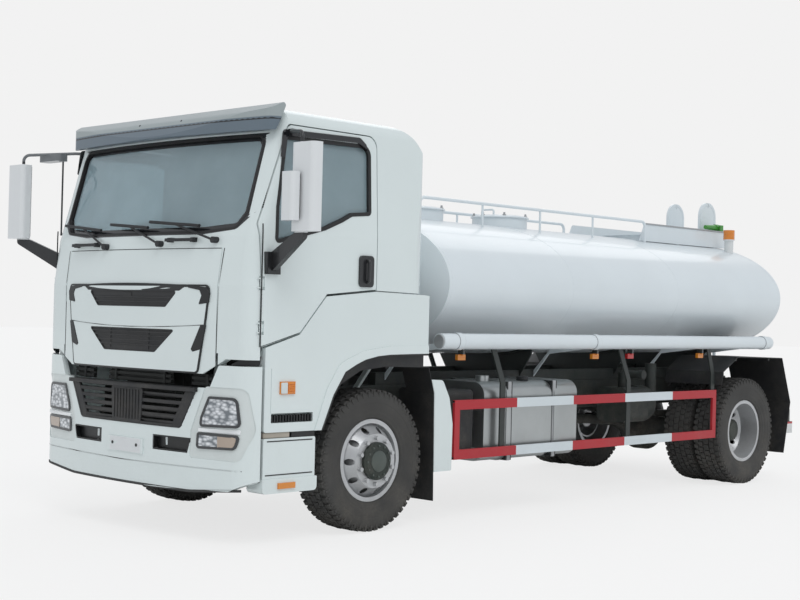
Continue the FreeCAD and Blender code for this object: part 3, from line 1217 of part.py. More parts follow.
# ================================================================ tank fittings
MANHOLES = (1620.0, 2780.0)
COLLAR_RADIUS = 255.0
COLLAR_TOP = 2500.0
LID_SHEET = 30.0
LID_PIN = 10.0
LID_PIN_Z = COLLAR_TOP + 24.0
HINGE_REACH = COLLAR_RADIUS + 48.0
LUG_IN = 22.0
LUG_OUT = 50.0
collars = []
for y in MANHOLES:
    ring = turned_z(((COLLAR_RADIUS - 14, 2350.0), (COLLAR_RADIUS, 2350.0), (COLLAR_RADIUS, COLLAR_TOP),
                     (COLLAR_RADIUS - 14, COLLAR_TOP)), 0, y, 0)
    pin_y = y + HINGE_REACH
    lugs = []
    for x in (-LUG_OUT, LUG_IN):
        lug = plate_x(
            ((y + COLLAR_RADIUS - 10, COLLAR_TOP - 60), (y + COLLAR_RADIUS - 10, COLLAR_TOP - SEAT),
             (y + COLLAR_RADIUS + 22, COLLAR_TOP - SEAT),
             (pin_y - 22, LID_PIN_Z + 18, 14), (pin_y + 22, LID_PIN_Z + 18, 14), (pin_y + 22, COLLAR_TOP - 30)),
            x, x + LUG_OUT - LUG_IN)
        lugs.append(lug)
    bore = rod((-LUG_OUT - 5, pin_y, LID_PIN_Z), (LUG_OUT + 5, pin_y, LID_PIN_Z), LID_PIN + PIN_GAP)
    collars.append(union([ring] + lugs).cut(bore))
tank_body = ellipse_prism(TANK_HALF_WIDTH + SEAT, TANK_HALF_HEIGHT + SEAT, TANK_FRONT, TANK_REAR)
parts["manhole_collars"] = group([collar.cut(tank_body) for collar in collars])
for name, y in (("manhole_lid_front", MANHOLES[0]), ("manhole_lid_rear", MANHOLES[1])):
    pin_y = y + HINGE_REACH
    cover = turned_z(((0, COLLAR_TOP + SEAT), (COLLAR_RADIUS + 15, COLLAR_TOP + SEAT),
                      (COLLAR_RADIUS + 15, COLLAR_TOP + 14, 8), (COLLAR_RADIUS - 60, COLLAR_TOP + LID_SHEET, 60),
                      (0, COLLAR_TOP + LID_SHEET + 8)), 0, y, 0)
    tongue = box(-14, 14, y + COLLAR_RADIUS - 40, pin_y, COLLAR_TOP + 12, LID_PIN_Z + 6)
    knuckle_pin = union([
        rod((-14, pin_y, LID_PIN_Z), (14, pin_y, LID_PIN_Z), 18.0),
        rod((-LUG_OUT - 3, pin_y, LID_PIN_Z), (LUG_OUT + 3, pin_y, LID_PIN_Z), LID_PIN),
    ])
    grip = pipe(((-70, y - 170, COLLAR_TOP + 20), (-70, y - 170, COLLAR_TOP + 75, 20),
                 (70, y - 170, COLLAR_TOP + 75, 20), (70, y - 170, COLLAR_TOP + 20)), 9.0)
    parts[name] = union([cover, tongue, knuckle_pin, grip])

# Work platform over the tank's rear, its ladder and the round-topped hand plates.
DECK_FRONT = 4400.0
DECK_REAR = 6180.0
DECK_HALF = 450.0
DECK_Z = 2440.0
DECK_TOP = DECK_Z + 6.0 + SEAT
side_panel = plate_x(((DECK_FRONT, 2380.0), (DECK_FRONT + 90, 2560.0, 30), (DECK_REAR, 2560.0), (DECK_REAR, 2380.0)),
                     DECK_HALF - 6, DECK_HALF)
deck = box(-DECK_HALF + 3, DECK_HALF - 3, DECK_FRONT + 60, DECK_REAR, DECK_Z, DECK_Z + 6)
feet = [box(-DECK_HALF + 3, DECK_HALF - 3, y - 20, y + 20, 2350, DECK_Z + 3) for y in (4500.0, 5100.0, 5800.0)]
hand_plates = []
for x in (-200.0, 200.0):
    hand_plates.append(plate_x(
        ((5880.0, DECK_TOP), (5880.0, 2880.0, 155), (6200.0, 2880.0, 155), (6200.0, DECK_TOP)), x - 12, x + 12))
WALK_RAIL_X = -500.0
run = pipe(((WALK_RAIL_X, 1150, 2352), (WALK_RAIL_X, 1150, 2565, 60), (WALK_RAIL_X, DECK_FRONT + 20, 2565, 60),
            (WALK_RAIL_X, DECK_FRONT + 20, 2352)), 14.0)
posts = [rod((WALK_RAIL_X, y, 2352), (WALK_RAIL_X, y, 2562), 10.0) for y in (1950.0, 2750.0, 3550.0)]
walk_rail = union([run] + posts).cut(tank_body)
cannon_base = turned_z(((0, DECK_TOP), (90, DECK_TOP), (90, DECK_Z + 16), (55, DECK_Z + 22), (55, 2520.0), (0, 2520.0)),
                       350, 6000, 0)
deck_set = union([deck, side_panel, mirrored(side_panel)] + feet).cut(tank_body)
stand_set = union(hand_plates + [cannon_base])
LADDER_HALF = 220.0
LADDER_Y = 6215.0
ladder = []
for x in (-LADDER_HALF, LADDER_HALF):
    ladder.append(pipe(((x, LADDER_Y, 640), (x, LADDER_Y, 2400, 120), (x, 6100, 2480, 60), (x, 6000, 2455)), 18.0))
for step in range(6):
    z = 700 + step * 300
    ladder.append(rod((-LADDER_HALF, LADDER_Y, z), (LADDER_HALF, LADDER_Y, z), 13.0))
for x in (-LADDER_HALF, LADDER_HALF):
    ladder.append(box(x - 8, x + 8, RAIL_REAR - 160, LADDER_Y, 800, CROSS_TOP - CROSS_HEIGHT - SEAT))
parts["tank_platform"] = group([deck_set, stand_set, union(ladder), walk_rail, mirrored(walk_rail)])

SWIVEL_Z = 2520.0
CANNON_X = 350.0
CANNON_Y = 6000.0
PIVOT_Z = 2600.0
swivel = union([
    turned_z(((0, SWIVEL_Z + SEAT), (62, SWIVEL_Z + SEAT), (62, SWIVEL_Z + 30), (0, SWIVEL_Z + 30)), CANNON_X, CANNON_Y, 0),
    box(CANNON_X - 62, CANNON_X - 46, CANNON_Y - 30, CANNON_Y + 30, SWIVEL_Z + 20, PIVOT_Z + 30),
    box(CANNON_X + 46, CANNON_X + 62, CANNON_Y - 30, CANNON_Y + 30, SWIVEL_Z + 20, PIVOT_Z + 30),
    rod((CANNON_X - 62, CANNON_Y, PIVOT_Z), (CANNON_X + 62, CANNON_Y, PIVOT_Z), 8.0),
])
parts["cannon_swivel"] = swivel
cannon = union([
    rod((CANNON_X, CANNON_Y - 50, PIVOT_Z), (CANNON_X, CANNON_Y, PIVOT_Z), 40.0),
    Part.makeSphere(42.0, Vec(CANNON_X, CANNON_Y, PIVOT_Z)),
    Part.makeCone(34, 22, 190, Vec(CANNON_X, CANNON_Y - 40, PIVOT_Z), Vec(0, -1, 0)),
]).cut(rod((CANNON_X - 80, CANNON_Y, PIVOT_Z), (CANNON_X + 80, CANNON_Y, PIVOT_Z), 9.0))
parts["cannon_barrel"] = cannon

# ================================================================ pump
pump = union([
    plate_y(((560.0, 640.0, 60), (900.0, 640.0, 60), (900.0, 960.0, 60), (560.0, 960.0, 60)), 3600, 3950),
    rod((730, 3945, 800), (730, 4080, 800), 170.0),
    pipe(((730, 4070, 800), (730, 4230, 800, 90), (730, 4230, 1180), ), 55.0),
    box(RAIL_OUT + SEAT, 570, 3700, 3850, 780, 860),
    rod((730, 3780, 955), (730, 3780, 1100), 50.0),
    rod((720, 3780, 1085), (911, 3780, 1085), 36.0),
    rod((910, 3780, 1085), (960, 3780, 1085), 42.0),
])
parts["water_pump"] = pump

# ================================================================ rear bar and lamps
BAR = (6135.0, REAR_FACE, 455.0, 575.0)
bar = [box(-1150, 1150, BAR[0], BAR[1], BAR[2], BAR[3])]
for x in (-400, 385):
    bar.append(plate_x(((6068.0, RAIL_BOTTOM - SEAT), (6106.0, RAIL_BOTTOM - SEAT), (6200.0, 560.0),
                        (6130.0, 500.0)), x, x + 15))
for x0, x1 in ((-1130, -780), (780, 1130)):
    bar.append(box(x0, x1, 6170, 6235, 574, 700))
parts["rear_bar"] = union(bar)

lamps = []
for y in (961.0, 2724.0, 4415.0, 3254.0):
    lamp = union([box(1140, 1168, y - 45, y + 45, 1248, 1292), box(1140, 1190, y - 12, y + 12, 1285, 1380)])
    lamps.append(lamp.cut(rod((TUBE_X, y - 60, TUBE_Z), (TUBE_X, y + 60, TUBE_Z), TUBE_RADIUS + SEAT)))
lamps.append(box(CAB_HALF + SEAT, CAB_HALF + 12, -980, -845, 1032, 1118))
lamps.append(box(LEDGE_OUT + SEAT, LEDGE_OUT + 12, -984, -830, 392, 432))
beacon_x = 620.0
beacon_y = 5800.0
beacon = union([
    rod((beacon_x, beacon_y, 2300), (beacon_x, beacon_y, 2450), 45.0),
    rod((beacon_x, beacon_y, 2449), (beacon_x, beacon_y, 2560), 58.0),
]).cut(tank_body)
work_lamp = rod((900, 5850, 2200), (900, 5900, 2300), 28.0).cut(tank_body)
parts["marker_lamps"] = group([pair(lamp) for lamp in lamps] + [beacon])

# Tilt pins and the cab's rear rest stand on the rails.
TILT_BRACKET = box(RAIL_OUT - 2, ARM_IN - MOVING_GAP, TILT_Y - 34, TILT_Y + 60, RAIL_BOTTOM + 2, 860)
tilt_pins = union([TILT_BRACKET, rod((RAIL_OUT, TILT_Y, TILT_Z), (ARM_OUT + 12, TILT_Y, TILT_Z), TILT_PIN)])
rails_left = union([rail, tilt_pins])
REST_FRONT = CAB_REAR - 100
REST_REAR = CAB_REAR - 40
rest = union([
    box(-620, 620, REST_FRONT, REST_REAR, 1160, MEMBER_LOW - MOVING_GAP),
    box(355, 425, REST_FRONT, REST_REAR, RAIL_TOP + SEAT, 1165),
    box(-425, -355, REST_FRONT, REST_REAR, RAIL_TOP + SEAT, 1165),
])
parts["frame_rails"] = pair(rails_left)
parts["cab_rest"] = rest

# ================================================================ export
os.makedirs("parts", exist_ok=True)
for name, shape in parts.items():
    placed = shape.copy()
    placed.translate(Vec(0, FRONT_AXLE_Y, 0))
    placed.exportStep("parts/" + name + ".step")
    print(name, len(placed.Solids), placed.isValid(), round(placed.Volume / 1e6))
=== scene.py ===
import bpy
import bmesh
import math
from mathutils import Matrix, Vector


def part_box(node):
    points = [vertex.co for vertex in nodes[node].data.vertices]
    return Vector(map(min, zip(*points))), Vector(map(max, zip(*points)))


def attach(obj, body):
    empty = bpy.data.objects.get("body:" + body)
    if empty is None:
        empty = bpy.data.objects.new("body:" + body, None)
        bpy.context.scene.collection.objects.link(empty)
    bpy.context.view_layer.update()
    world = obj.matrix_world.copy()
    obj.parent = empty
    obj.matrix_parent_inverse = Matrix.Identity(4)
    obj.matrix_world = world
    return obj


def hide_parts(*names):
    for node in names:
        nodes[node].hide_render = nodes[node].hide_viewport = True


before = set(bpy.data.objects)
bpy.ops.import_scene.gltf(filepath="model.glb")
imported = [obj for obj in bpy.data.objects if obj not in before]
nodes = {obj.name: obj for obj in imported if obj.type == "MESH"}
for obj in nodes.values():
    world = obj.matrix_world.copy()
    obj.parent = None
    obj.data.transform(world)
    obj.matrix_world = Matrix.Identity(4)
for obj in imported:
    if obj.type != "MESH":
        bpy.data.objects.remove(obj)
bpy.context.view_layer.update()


# ------------------------ studio
# A pale floor under a pale sky, one broad soft sun from the front left and a
# weak one from the rear right, and the camera off the truck's front left
# corner, a little below a person's eye level.

def deselect():
    if bpy.context.object and bpy.context.object.mode != "OBJECT":
        bpy.ops.object.mode_set(mode="OBJECT")
    bpy.ops.object.select_all(action="DESELECT")


def fill(tree, socket, value):
    """Links a socket to another one, or sets it to a constant."""
    if hasattr(value, "is_linked"):
        tree.links.new(value, socket)
    else:
        socket.default_value = value


def added(tree, kind, **settings):
    """New node with its inputs filled, each named with _ for a space."""
    node = tree.nodes.new("ShaderNode" + kind)
    for name, value in settings.items():
        fill(tree, node.inputs[name.replace("_", " ")], value)
    return node


def maths(tree, kind, a, b=0.0):
    node = added(tree, "Math")
    node.operation = kind
    for socket, value in zip(node.inputs, (a, b)):
        fill(tree, socket, value)
    return node.outputs[0]


def see_as_backdrop(tree, shader, colour):
    """Shows a plain colour to the eye, also through glass, and shader to everything else."""
    path = added(tree, "LightPath").outputs
    plain = added(tree, "Background", Color=colour, Strength=1.0)
    mix = added(tree, "MixShader")
    seen = maths(tree, "MAXIMUM", path["Is Camera Ray"], path["Is Transmission Ray"])
    for socket, value in zip(mix.inputs, (seen, shader.outputs[0], plain.outputs[0])):
        fill(tree, socket, value)
    return mix.outputs[0]


SKY_SEEN = (0.888, 0.888, 0.888, 1.0)
SKY_LIGHT = (0.93, 0.96, 1.0, 1.0)
FLOOR_SEEN = (0.938, 0.938, 0.938, 1.0)
FLOOR_COLOUR = (0.90, 0.90, 0.89, 1.0)
world = bpy.data.worlds.new("sky")
world.use_nodes = True
sky = world.node_tree
sky.nodes.clear()
overcast = added(sky, "Background", Color=SKY_LIGHT, Strength=0.66)
added(sky, "OutputWorld", Surface=see_as_backdrop(sky, overcast, SKY_SEEN))
bpy.context.scene.world = world

# The floor is a shade deeper where the truck's shadow falls on it: a fifth of
# what is seen is the lit floor and the rest its plain colour.
deselect()
bpy.ops.mesh.primitive_plane_add(size=160.0, location=(0.0, 0.0, -0.002))
floor = bpy.context.object
floor.name = "floor"
floor_material = bpy.data.materials.new("pale_floor")
floor_material.use_nodes = True
floor_tree = floor_material.node_tree
floor_shader = floor_tree.nodes["Principled BSDF"]
fill(floor_tree, floor_shader.inputs["Base Color"], FLOOR_COLOUR)
fill(floor_tree, floor_shader.inputs["Roughness"], 0.9)
floor_blend = added(floor_tree, "MixShader")
floor_seen = see_as_backdrop(floor_tree, floor_shader, FLOOR_SEEN)
for socket, value in zip(floor_blend.inputs, (0.20, floor_seen, floor_shader.outputs[0])):
    fill(floor_tree, socket, value)
fill(floor_tree, floor_tree.nodes["Material Output"].inputs["Surface"], floor_blend.outputs[0])
floor.data.materials.append(floor_material)

# Name, strength, breadth and turn of each sun, both in degrees.
for name, energy, size, turn in (
    ("sun_main", 0.80, 30.0, (38.0, 0.0, 62.0)),
    ("sun_back", 0.35, 40.0, (50.0, 0.0, 215.0)),
):
    bpy.ops.object.light_add(type="SUN", location=(0.0, 0.0, 10.0))
    lamp = bpy.context.object
    lamp.name = name
    lamp.data.energy = energy
    lamp.data.angle = math.radians(size)
    lamp.rotation_euler = [math.radians(a) for a in turn]

EYE = Vector((8.50173, -9.87110, 1.59823))
EYE_YAW = math.radians(43.7334)
EYE_PITCH = math.radians(0.5517)
EYE_ROLL = math.radians(1.4218)
LENS = 64.22
ahead = Vector((
    -math.sin(EYE_YAW) * math.cos(EYE_PITCH), math.cos(EYE_YAW) * math.cos(EYE_PITCH), math.sin(EYE_PITCH)))
level = Vector((math.cos(EYE_YAW), math.sin(EYE_YAW), 0.0))
upward = level.cross(ahead)
right = level * math.cos(EYE_ROLL) + upward * math.sin(EYE_ROLL)
above = upward * math.cos(EYE_ROLL) - level * math.sin(EYE_ROLL)
bpy.ops.object.camera_add(location=EYE)
camera = bpy.context.object
camera.data.lens = LENS
camera.data.sensor_width = 36.0
camera.matrix_world = Matrix.Translation(EYE) @ Matrix((right, above, -ahead)).transposed().to_4x4()
bpy.context.scene.camera = camera
bpy.context.scene.view_settings.view_transform = "Standard"


# ------------------------ chassis paint
# Ladder frame, axles, springs and cradle: dark primer-green chassis paint over
# rough steel, matted by road dust that thins out with height.

def new_group(name, inputs, outputs):
    """Shader node group with (name, socket type, default) inputs and (name, type) outputs."""
    group = bpy.data.node_groups.new(name, "ShaderNodeTree")
    for label, kind, value in inputs:
        socket = group.interface.new_socket(name=label, in_out="INPUT", socket_type=kind)
        socket.default_value = value
    for label, kind in outputs:
        group.interface.new_socket(name=label, in_out="OUTPUT", socket_type=kind)
    return group, group.nodes.new("NodeGroupInput"), group.nodes.new("NodeGroupOutput")


def noise(tree, vector, scale, detail, rough=0.55):
    return added(tree, "TexNoise", Vector=vector, Scale=scale, Detail=detail, Roughness=rough).outputs["Fac"]


def ranged(tree, value, low, high, to_low=0.0, to_high=1.0):
    node = added(tree, "MapRange", Value=value, From_Min=low, From_Max=high, To_Min=to_low, To_Max=to_high)
    return node.outputs["Result"]


def mixed(tree, fac, a, b):
    node = added(tree, "Mix")
    node.data_type = "RGBA"
    for name, value in (("Factor", fac), ("A", a), ("B", b)):
        fill(tree, node.inputs[name], value)
    return node.outputs["Result"]


dust_group, dust_in, dust_out = new_group(
    "road_dust",
    (("Colour", "NodeSocketColor", (0.5, 0.5, 0.5, 1.0)), ("Roughness", "NodeSocketFloat", 0.4),
     ("Dust", "NodeSocketFloat", 0.3), ("Dust Top", "NodeSocketFloat", 1.2),
     ("Dust Colour", "NodeSocketColor", (0.23, 0.205, 0.165, 1.0)), ("Mottle", "NodeSocketFloat", 0.05)),
    (("Colour", "NodeSocketColor"), ("Roughness", "NodeSocketFloat")))
place = added(dust_group, "TexCoord").outputs["Object"]
height = added(dust_group, "SeparateXYZ", Vector=place).outputs["Z"]
low = maths(dust_group, "DIVIDE", height, dust_in.outputs["Dust Top"])
low = ranged(dust_group, low, 0.15, 1.0, 1.0, 0.0)
patches = ranged(dust_group, noise(dust_group, place, 5.0, 8.0, 0.62), 0.36, 0.66)
specks = ranged(dust_group, noise(dust_group, place, 60.0, 3.0), 0.4, 0.7)
specks = maths(dust_group, "ADD", maths(dust_group, "MULTIPLY", specks, 0.5), 0.5)
cover = maths(dust_group, "MULTIPLY", patches, specks)
cover = maths(dust_group, "MULTIPLY", cover, maths(dust_group, "MULTIPLY", low, dust_in.outputs["Dust"]))
shade = ranged(dust_group, noise(dust_group, place, 1.7, 5.0), 0.3, 0.7, -0.5, 0.5)
shade = maths(dust_group, "MULTIPLY", shade, dust_in.outputs["Mottle"])
shade = maths(dust_group, "ADD", shade, 1.0)
tone = added(dust_group, "HueSaturation", Value=shade, Color=dust_in.outputs["Colour"])
fill(dust_group, dust_out.inputs["Colour"],
     mixed(dust_group, cover, tone.outputs[0], dust_in.outputs["Dust Colour"]))
fill(dust_group, dust_out.inputs["Roughness"],
     maths(dust_group, "MAXIMUM", dust_in.outputs["Roughness"], maths(dust_group, "MULTIPLY", cover, 0.9)))


def base_material(name):
    made = bpy.data.materials.new(name)
    made.use_nodes = True
    tree = made.node_tree
    return made, tree, tree.nodes["Principled BSDF"], added(tree, "TexCoord").outputs["Object"]


def bumped(tree, shader, height, strength, distance):
    bump = added(tree, "Bump", Strength=strength, Distance=distance, Height=height)
    fill(tree, shader.inputs["Normal"], bump.outputs[0])


def finish(name, colour, rough, dust=0.2, dust_top=1.2, mottle=0.06, metal=0.0, coat=0.0,
           grain=180.0, bump=0.15, depth=0.0006, colour_from=None):
    """Painted, moulded or bare finish: mottled colour under road dust, with a fine surface grain."""
    made, tree, shader, place = base_material(name)
    dusty = added(tree, "Group")
    dusty.node_tree = dust_group
    tone = colour_from(tree, place) if colour_from else (*colour, 1.0)
    for socket, value in (("Colour", tone), ("Roughness", rough), ("Dust", dust), ("Dust Top", dust_top),
                          ("Mottle", mottle)):
        fill(tree, dusty.inputs[socket], value)
    for socket, value in (("Base Color", dusty.outputs["Colour"]), ("Roughness", dusty.outputs["Roughness"]),
                          ("Metallic", metal), ("Coat Weight", coat), ("Coat Roughness", 0.06)):
        fill(tree, shader.inputs[socket], value)
    bumped(tree, shader, noise(tree, place, grain, 4.0), bump, depth)
    return made


def painted(piece, material):
    piece.data.materials.clear()
    piece.data.materials.append(material)
    return piece


def clad(material, *names):
    """Gives CAD nodes their finish."""
    for name in names:
        painted(nodes[name], material)


FRAME_TONE = (0.022, 0.028, 0.026)
chassis_paint = finish("chassis_paint", FRAME_TONE, 0.55, dust=0.55, dust_top=1.3, mottle=0.5)
cast_metal = finish("cast_metal", (0.03, 0.032, 0.03), 0.7, dust=0.7, dust_top=1.1, mottle=0.6, grain=70,
                    bump=0.4)
clad(chassis_paint, "frame_rails", "frame_crossmembers", "tank_cradle", "cab_rest", "leaf_springs", "tie_rod",
     "water_pump")
clad(cast_metal, "front_axle_beam", "rear_axle", "knuckle_left", "knuckle_right", "powertrain")

# ------------------------ tyres
# Radial truck tyres of moulded rubber: a ribbed carcass with shaped sidewalls
# is spun about the axle, and shoulder lugs and centre blocks are copied round it.

def pick(piece):
    """Makes the piece the only one selected and the active one."""
    deselect()
    piece.select_set(True)
    bpy.context.view_layer.objects.active = piece
    return piece


def opened(name, verts, edges, faces):
    """New piece of a mesh, in edit mode with everything selected."""
    mesh = bpy.data.meshes.new(name)
    mesh.from_pydata(verts, edges, faces)
    piece = bpy.data.objects.new(name, mesh)
    bpy.context.collection.objects.link(piece)
    pick(piece)
    bpy.ops.object.mode_set(mode="EDIT")
    bpy.ops.mesh.select_all(action="SELECT")
    return piece


def turned(name, profile, centre=(0.0, 0.0, 0.0), steps=32):
    """Closed ring or solid spun about the X axis through centre, from (x, radius) points."""
    body = opened(name, [(centre[0] + x, centre[1], centre[2] + r) for x, r in profile],
                  [(i, i + 1) for i in range(len(profile) - 1)], [])
    bpy.ops.mesh.spin(steps=steps, angle=math.tau, center=centre, axis=(1.0, 0.0, 0.0))
    bpy.ops.mesh.select_all(action="SELECT")
    bpy.ops.mesh.remove_doubles(threshold=0.00002)
    bpy.ops.mesh.normals_make_consistent(inside=False)
    bpy.ops.object.mode_set(mode="OBJECT")
    return body


def smooth(piece, angle=35.0):
    pick(piece)
    bpy.ops.object.shade_smooth_by_angle(angle=math.radians(angle))
    return piece


def bar(low, high, bevel, segments=1):
    """Block between two corners with its edges bevelled."""
    deselect()
    middle = [(a + b) / 2 for a, b in zip(low, high)]
    bpy.ops.mesh.primitive_cube_add(size=1.0, location=middle)
    block = bpy.context.object
    block.scale = [abs(b - a) for a, b in zip(low, high)]
    bpy.ops.object.transform_apply(location=True, rotation=True, scale=True)
    bpy.ops.object.mode_set(mode="EDIT")
    bpy.ops.mesh.select_all(action="SELECT")
    bpy.ops.mesh.bevel(offset=bevel, segments=segments, affect="EDGES")
    bpy.ops.object.mode_set(mode="OBJECT")
    return block


def joined(name, pieces):
    whole = pick(pieces[0])
    for piece in pieces:
        piece.select_set(True)
    bpy.ops.object.join()
    whole.name = name
    whole.data.name = name
    return whole


def copied(piece, moves):
    """The piece's mesh once for each matrix, as one mesh; the piece itself goes."""
    gathered = bmesh.new()
    for move in moves:
        mesh = piece.data.copy()
        mesh.transform(move)
        if move.determinant() < 0:
            mesh.flip_normals()
        gathered.from_mesh(mesh)
        bpy.data.meshes.remove(mesh)
    gathered.to_mesh(piece.data)
    gathered.free()
    return piece


def spun_copies(piece, count, centre):
    """The piece's mesh count times, evenly about the X axis through centre."""
    there = Matrix.Translation(centre)
    return copied(piece, [there @ Matrix.Rotation(math.tau * i / count, 4, "X") @ there.inverted()
                          for i in range(count)])


rubber = finish("tyre_rubber", (0.050, 0.049, 0.047), 0.8, dust=0.25, dust_top=1.1, mottle=0.5, grain=90,
                bump=0.3)
TYRE_HALF = 0.1475
TYRE_OUT = 0.522
AXLE_Z = TYRE_OUT
GROOVE = 0.013
# Half section of the carcass: across from the middle plane, and out from the axle.
TYRE_SIDE = (
    (0.030, TYRE_OUT - GROOVE), (0.098, TYRE_OUT - GROOVE - 0.002), (0.124, 0.504), (0.136, 0.494), (0.142, 0.478),
    (0.1455, 0.458), (0.1475, 0.430), (0.1475, 0.424), (0.1462, 0.422), (0.1458, 0.400), (0.1445, 0.385),
    (0.1405, 0.366), (0.137, 0.352), (0.1375, 0.349), (0.133, 0.336), (0.129, 0.325), (0.1285, 0.318),
    (0.122, 0.309), (0.106, 0.303), (0.1035, 0.296), (0.1035, 0.284), (0.070, 0.284),
)
LUG_STEPS = 54


def tyre(name, centre):
    profile = [(-x, r) for x, r in reversed(TYRE_SIDE)] + list(TYRE_SIDE)
    carcass = turned(name, profile + [profile[0]], centre, 108)
    length = TYRE_OUT * math.tau / LUG_STEPS
    top = centre[2] + TYRE_OUT
    base = top - GROOVE - 0.003
    blocks = []
    # Across from and to, the part of the pitch that is rubber, and the shift along the tread.
    for x0, x1, full, slide in (
        (0.088, 0.136, 0.66, 0.5), (0.036, 0.080, 0.86, 0.0), (-0.028, 0.028, 0.90, 0.5),
        (-0.080, -0.036, 0.86, 0.0), (-0.136, -0.088, 0.66, 0.5),
    ):
        y = centre[1] + (slide - 0.5) * length
        crown = 0.0006 if abs(x0 + x1) < 0.15 else 0.004
        blocks.append(bar(
            (centre[0] + x0, y - full * length / 2, base - (0.012 if crown > 0.002 else 0.0)),
            (centre[0] + x1, y + full * length / 2, top - crown), 0.003))
    lugs = spun_copies(joined("lugs", blocks), LUG_STEPS, centre)
    # Short ribs where the shoulder meets the sidewall, one to a lug.
    ribs = [
        bar((centre[0] + s * 0.128, centre[1] - 0.009, centre[2] + 0.462),
            (centre[0] + s * 0.1465, centre[1] + 0.009, centre[2] + 0.506), 0.003)
        for s in (-1, 1)
    ]
    ribs = spun_copies(joined("ribs", ribs), LUG_STEPS, centre)
    return painted(smooth(joined(name, [carcass, lugs, ribs]), 30.0), rubber)


for side in ("left", "right"):
    low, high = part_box("tyre_front_" + side)
    middle = tuple((low + high) / 2)
    front_tyre = tyre("tread_front_" + side, middle)
    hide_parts("tyre_front_" + side)
    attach(front_tyre, "wheel_front_" + side)
    low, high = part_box("tyres_rear_" + side)
    twins = [
        tyre("tread_rear", (x, (low.y + high.y) / 2, (low.z + high.z) / 2))
        for x in (low.x + TYRE_HALF, high.x - TYRE_HALF)
    ]
    rear_tyres = joined("treads_rear_" + side, twins)
    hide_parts("tyres_rear_" + side)
    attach(rear_tyres, "wheels_rear_" + side)

# ------------------------ cab paint
# Gloss white on the cab, its doors, steps and bumper, black moulded plastic on
# grilles and trim, grey plastic inside, and tinted glass that is a little clouded.

def glass(name, colour, rough, clear):
    """Tinted glass under a thin uneven film; clear is the part of the light that goes through."""
    made, tree, shader, place = base_material(name)
    film = mixed(tree, ranged(tree, noise(tree, place, 3.0, 6.0), 0.3, 0.75), (*colour, 1.0),
                 (colour[0] * 0.85, colour[1] * 0.87, colour[2] * 0.88, 1.0))
    cloud = ranged(tree, noise(tree, place, 12.0, 5.0), 0.4, 0.8, rough, rough + 0.06)
    for socket, value in (("Transmission Weight", clear), ("IOR", 1.45), ("Base Color", film),
                          ("Roughness", cloud)):
        fill(tree, shader.inputs[socket], value)
    return made


cab_white = finish("cab_white", (0.72, 0.79, 0.785), 0.22, dust=0.06, dust_top=1.6, mottle=0.03, coat=0.6)
clad(cab_white, "cab_shell", "door_left", "door_right", "front_panel", "step_panels", "front_bumper")
black_plastic = finish("black_plastic", (0.018, 0.019, 0.021), 0.55, dust=0.25, dust_top=2.0, mottle=0.4)
clad(black_plastic, "cab_grilles", "bumper_grille", "wipers", "equipment_boxes", "mudguards")
clad(finish("cabin_plastic", (0.10, 0.10, 0.105), 0.7, dust=0.0, mottle=0.3), "dashboard", "seats")
clad(glass("window_glass", (0.54, 0.68, 0.73), 0.02, 0.62), "windscreen", "door_glass_left", "door_glass_right")

# ------------------------ windscreen
# Laminated screen bonded into the cab: a printed black band on the glass, a
# rubber strip over the joint and a gloss black surround on the bowed skin.

AXLE_Y = -2.455
# (height, foremost point from the front axle) down the cab's front.
NOSE = ((1.150, -1.335), (1.760, -1.335), (2.100, -1.290), (3.020, -1.032))
NOSE_BOW = 7.0
NOSE_CORNER = 0.150
SIDE_X = 1.235
ROOF_SIDE_X = 1.196
LEAN_FROM = 2.130
ROOF_Z = 2.985


def side_x(z):
    """X of the cab's side skin at a height."""
    return SIDE_X - max(0.0, z - LEAN_FROM) * (SIDE_X - ROOF_SIDE_X) / (ROOF_Z - LEAN_FROM)


def bowed(x, z, lift, tip, half, corner):
    """Place a little off a bowed front with its foremost point at Y tip and round corners at half its width."""
    corner_x = half - corner
    centre = Vector((0.0, tip + NOSE_BOW))
    radius = NOSE_BOW
    if abs(x) > NOSE_BOW * corner_x / (NOSE_BOW - corner):
        depth = math.sqrt((NOSE_BOW - corner) ** 2 - corner_x ** 2)
        centre = Vector((math.copysign(corner_x, x), tip + NOSE_BOW - depth))
        radius = corner
    across = max(-radius, min(radius, x - centre.x))
    out = Vector((across, -math.sqrt(radius ** 2 - across ** 2))) / radius
    spot = centre + out * (radius + lift)
    return (spot.x, spot.y, z)


def on_nose(x, z, lift):
    """Place a little off the cab's front skin."""
    level = [pair for pair in zip(NOSE, NOSE[1:]) if pair[0][0] <= z] or [(NOSE[0], NOSE[1])]
    (z0, y0), (z1, y1) = level[-1]
    tip = AXLE_Y + y0 + (y1 - y0) * (z - z0) / (z1 - z0)
    return bowed(x, z, lift, tip, side_x(z), NOSE_CORNER)


def on_side(y, z, lift):
    """Place a little off the cab's left skin; y counts from the front axle."""
    return (side_x(z) + lift, AXLE_Y + y, z)


def rounded(corners, steps=6):
    """Closed outline from (a, b) or (a, b, radius) corners, each radius as a short arc."""
    points = []
    count = len(corners)
    for i, corner in enumerate(corners):
        here = Vector(corner[:2])
        if len(corner) < 3:
            points.append(here)
            continue
        radius = corner[2]
        back = (Vector(corners[i - 1][:2]) - here).normalized()
        ahead = (Vector(corners[(i + 1) % count][:2]) - here).normalized()
        half = max(back.angle(ahead) / 2, 0.01)
        middle = here + (back + ahead).normalized() * radius / math.sin(half)
        start = here + back * radius / math.tan(half) - middle
        end = here + ahead * radius / math.tan(half) - middle
        turn = math.atan2(start.x * end.y - start.y * end.x, start.dot(end))
        for k in range(steps + 1):
            points.append(middle + Matrix.Rotation(turn * k / steps, 2) @ start)
    return points


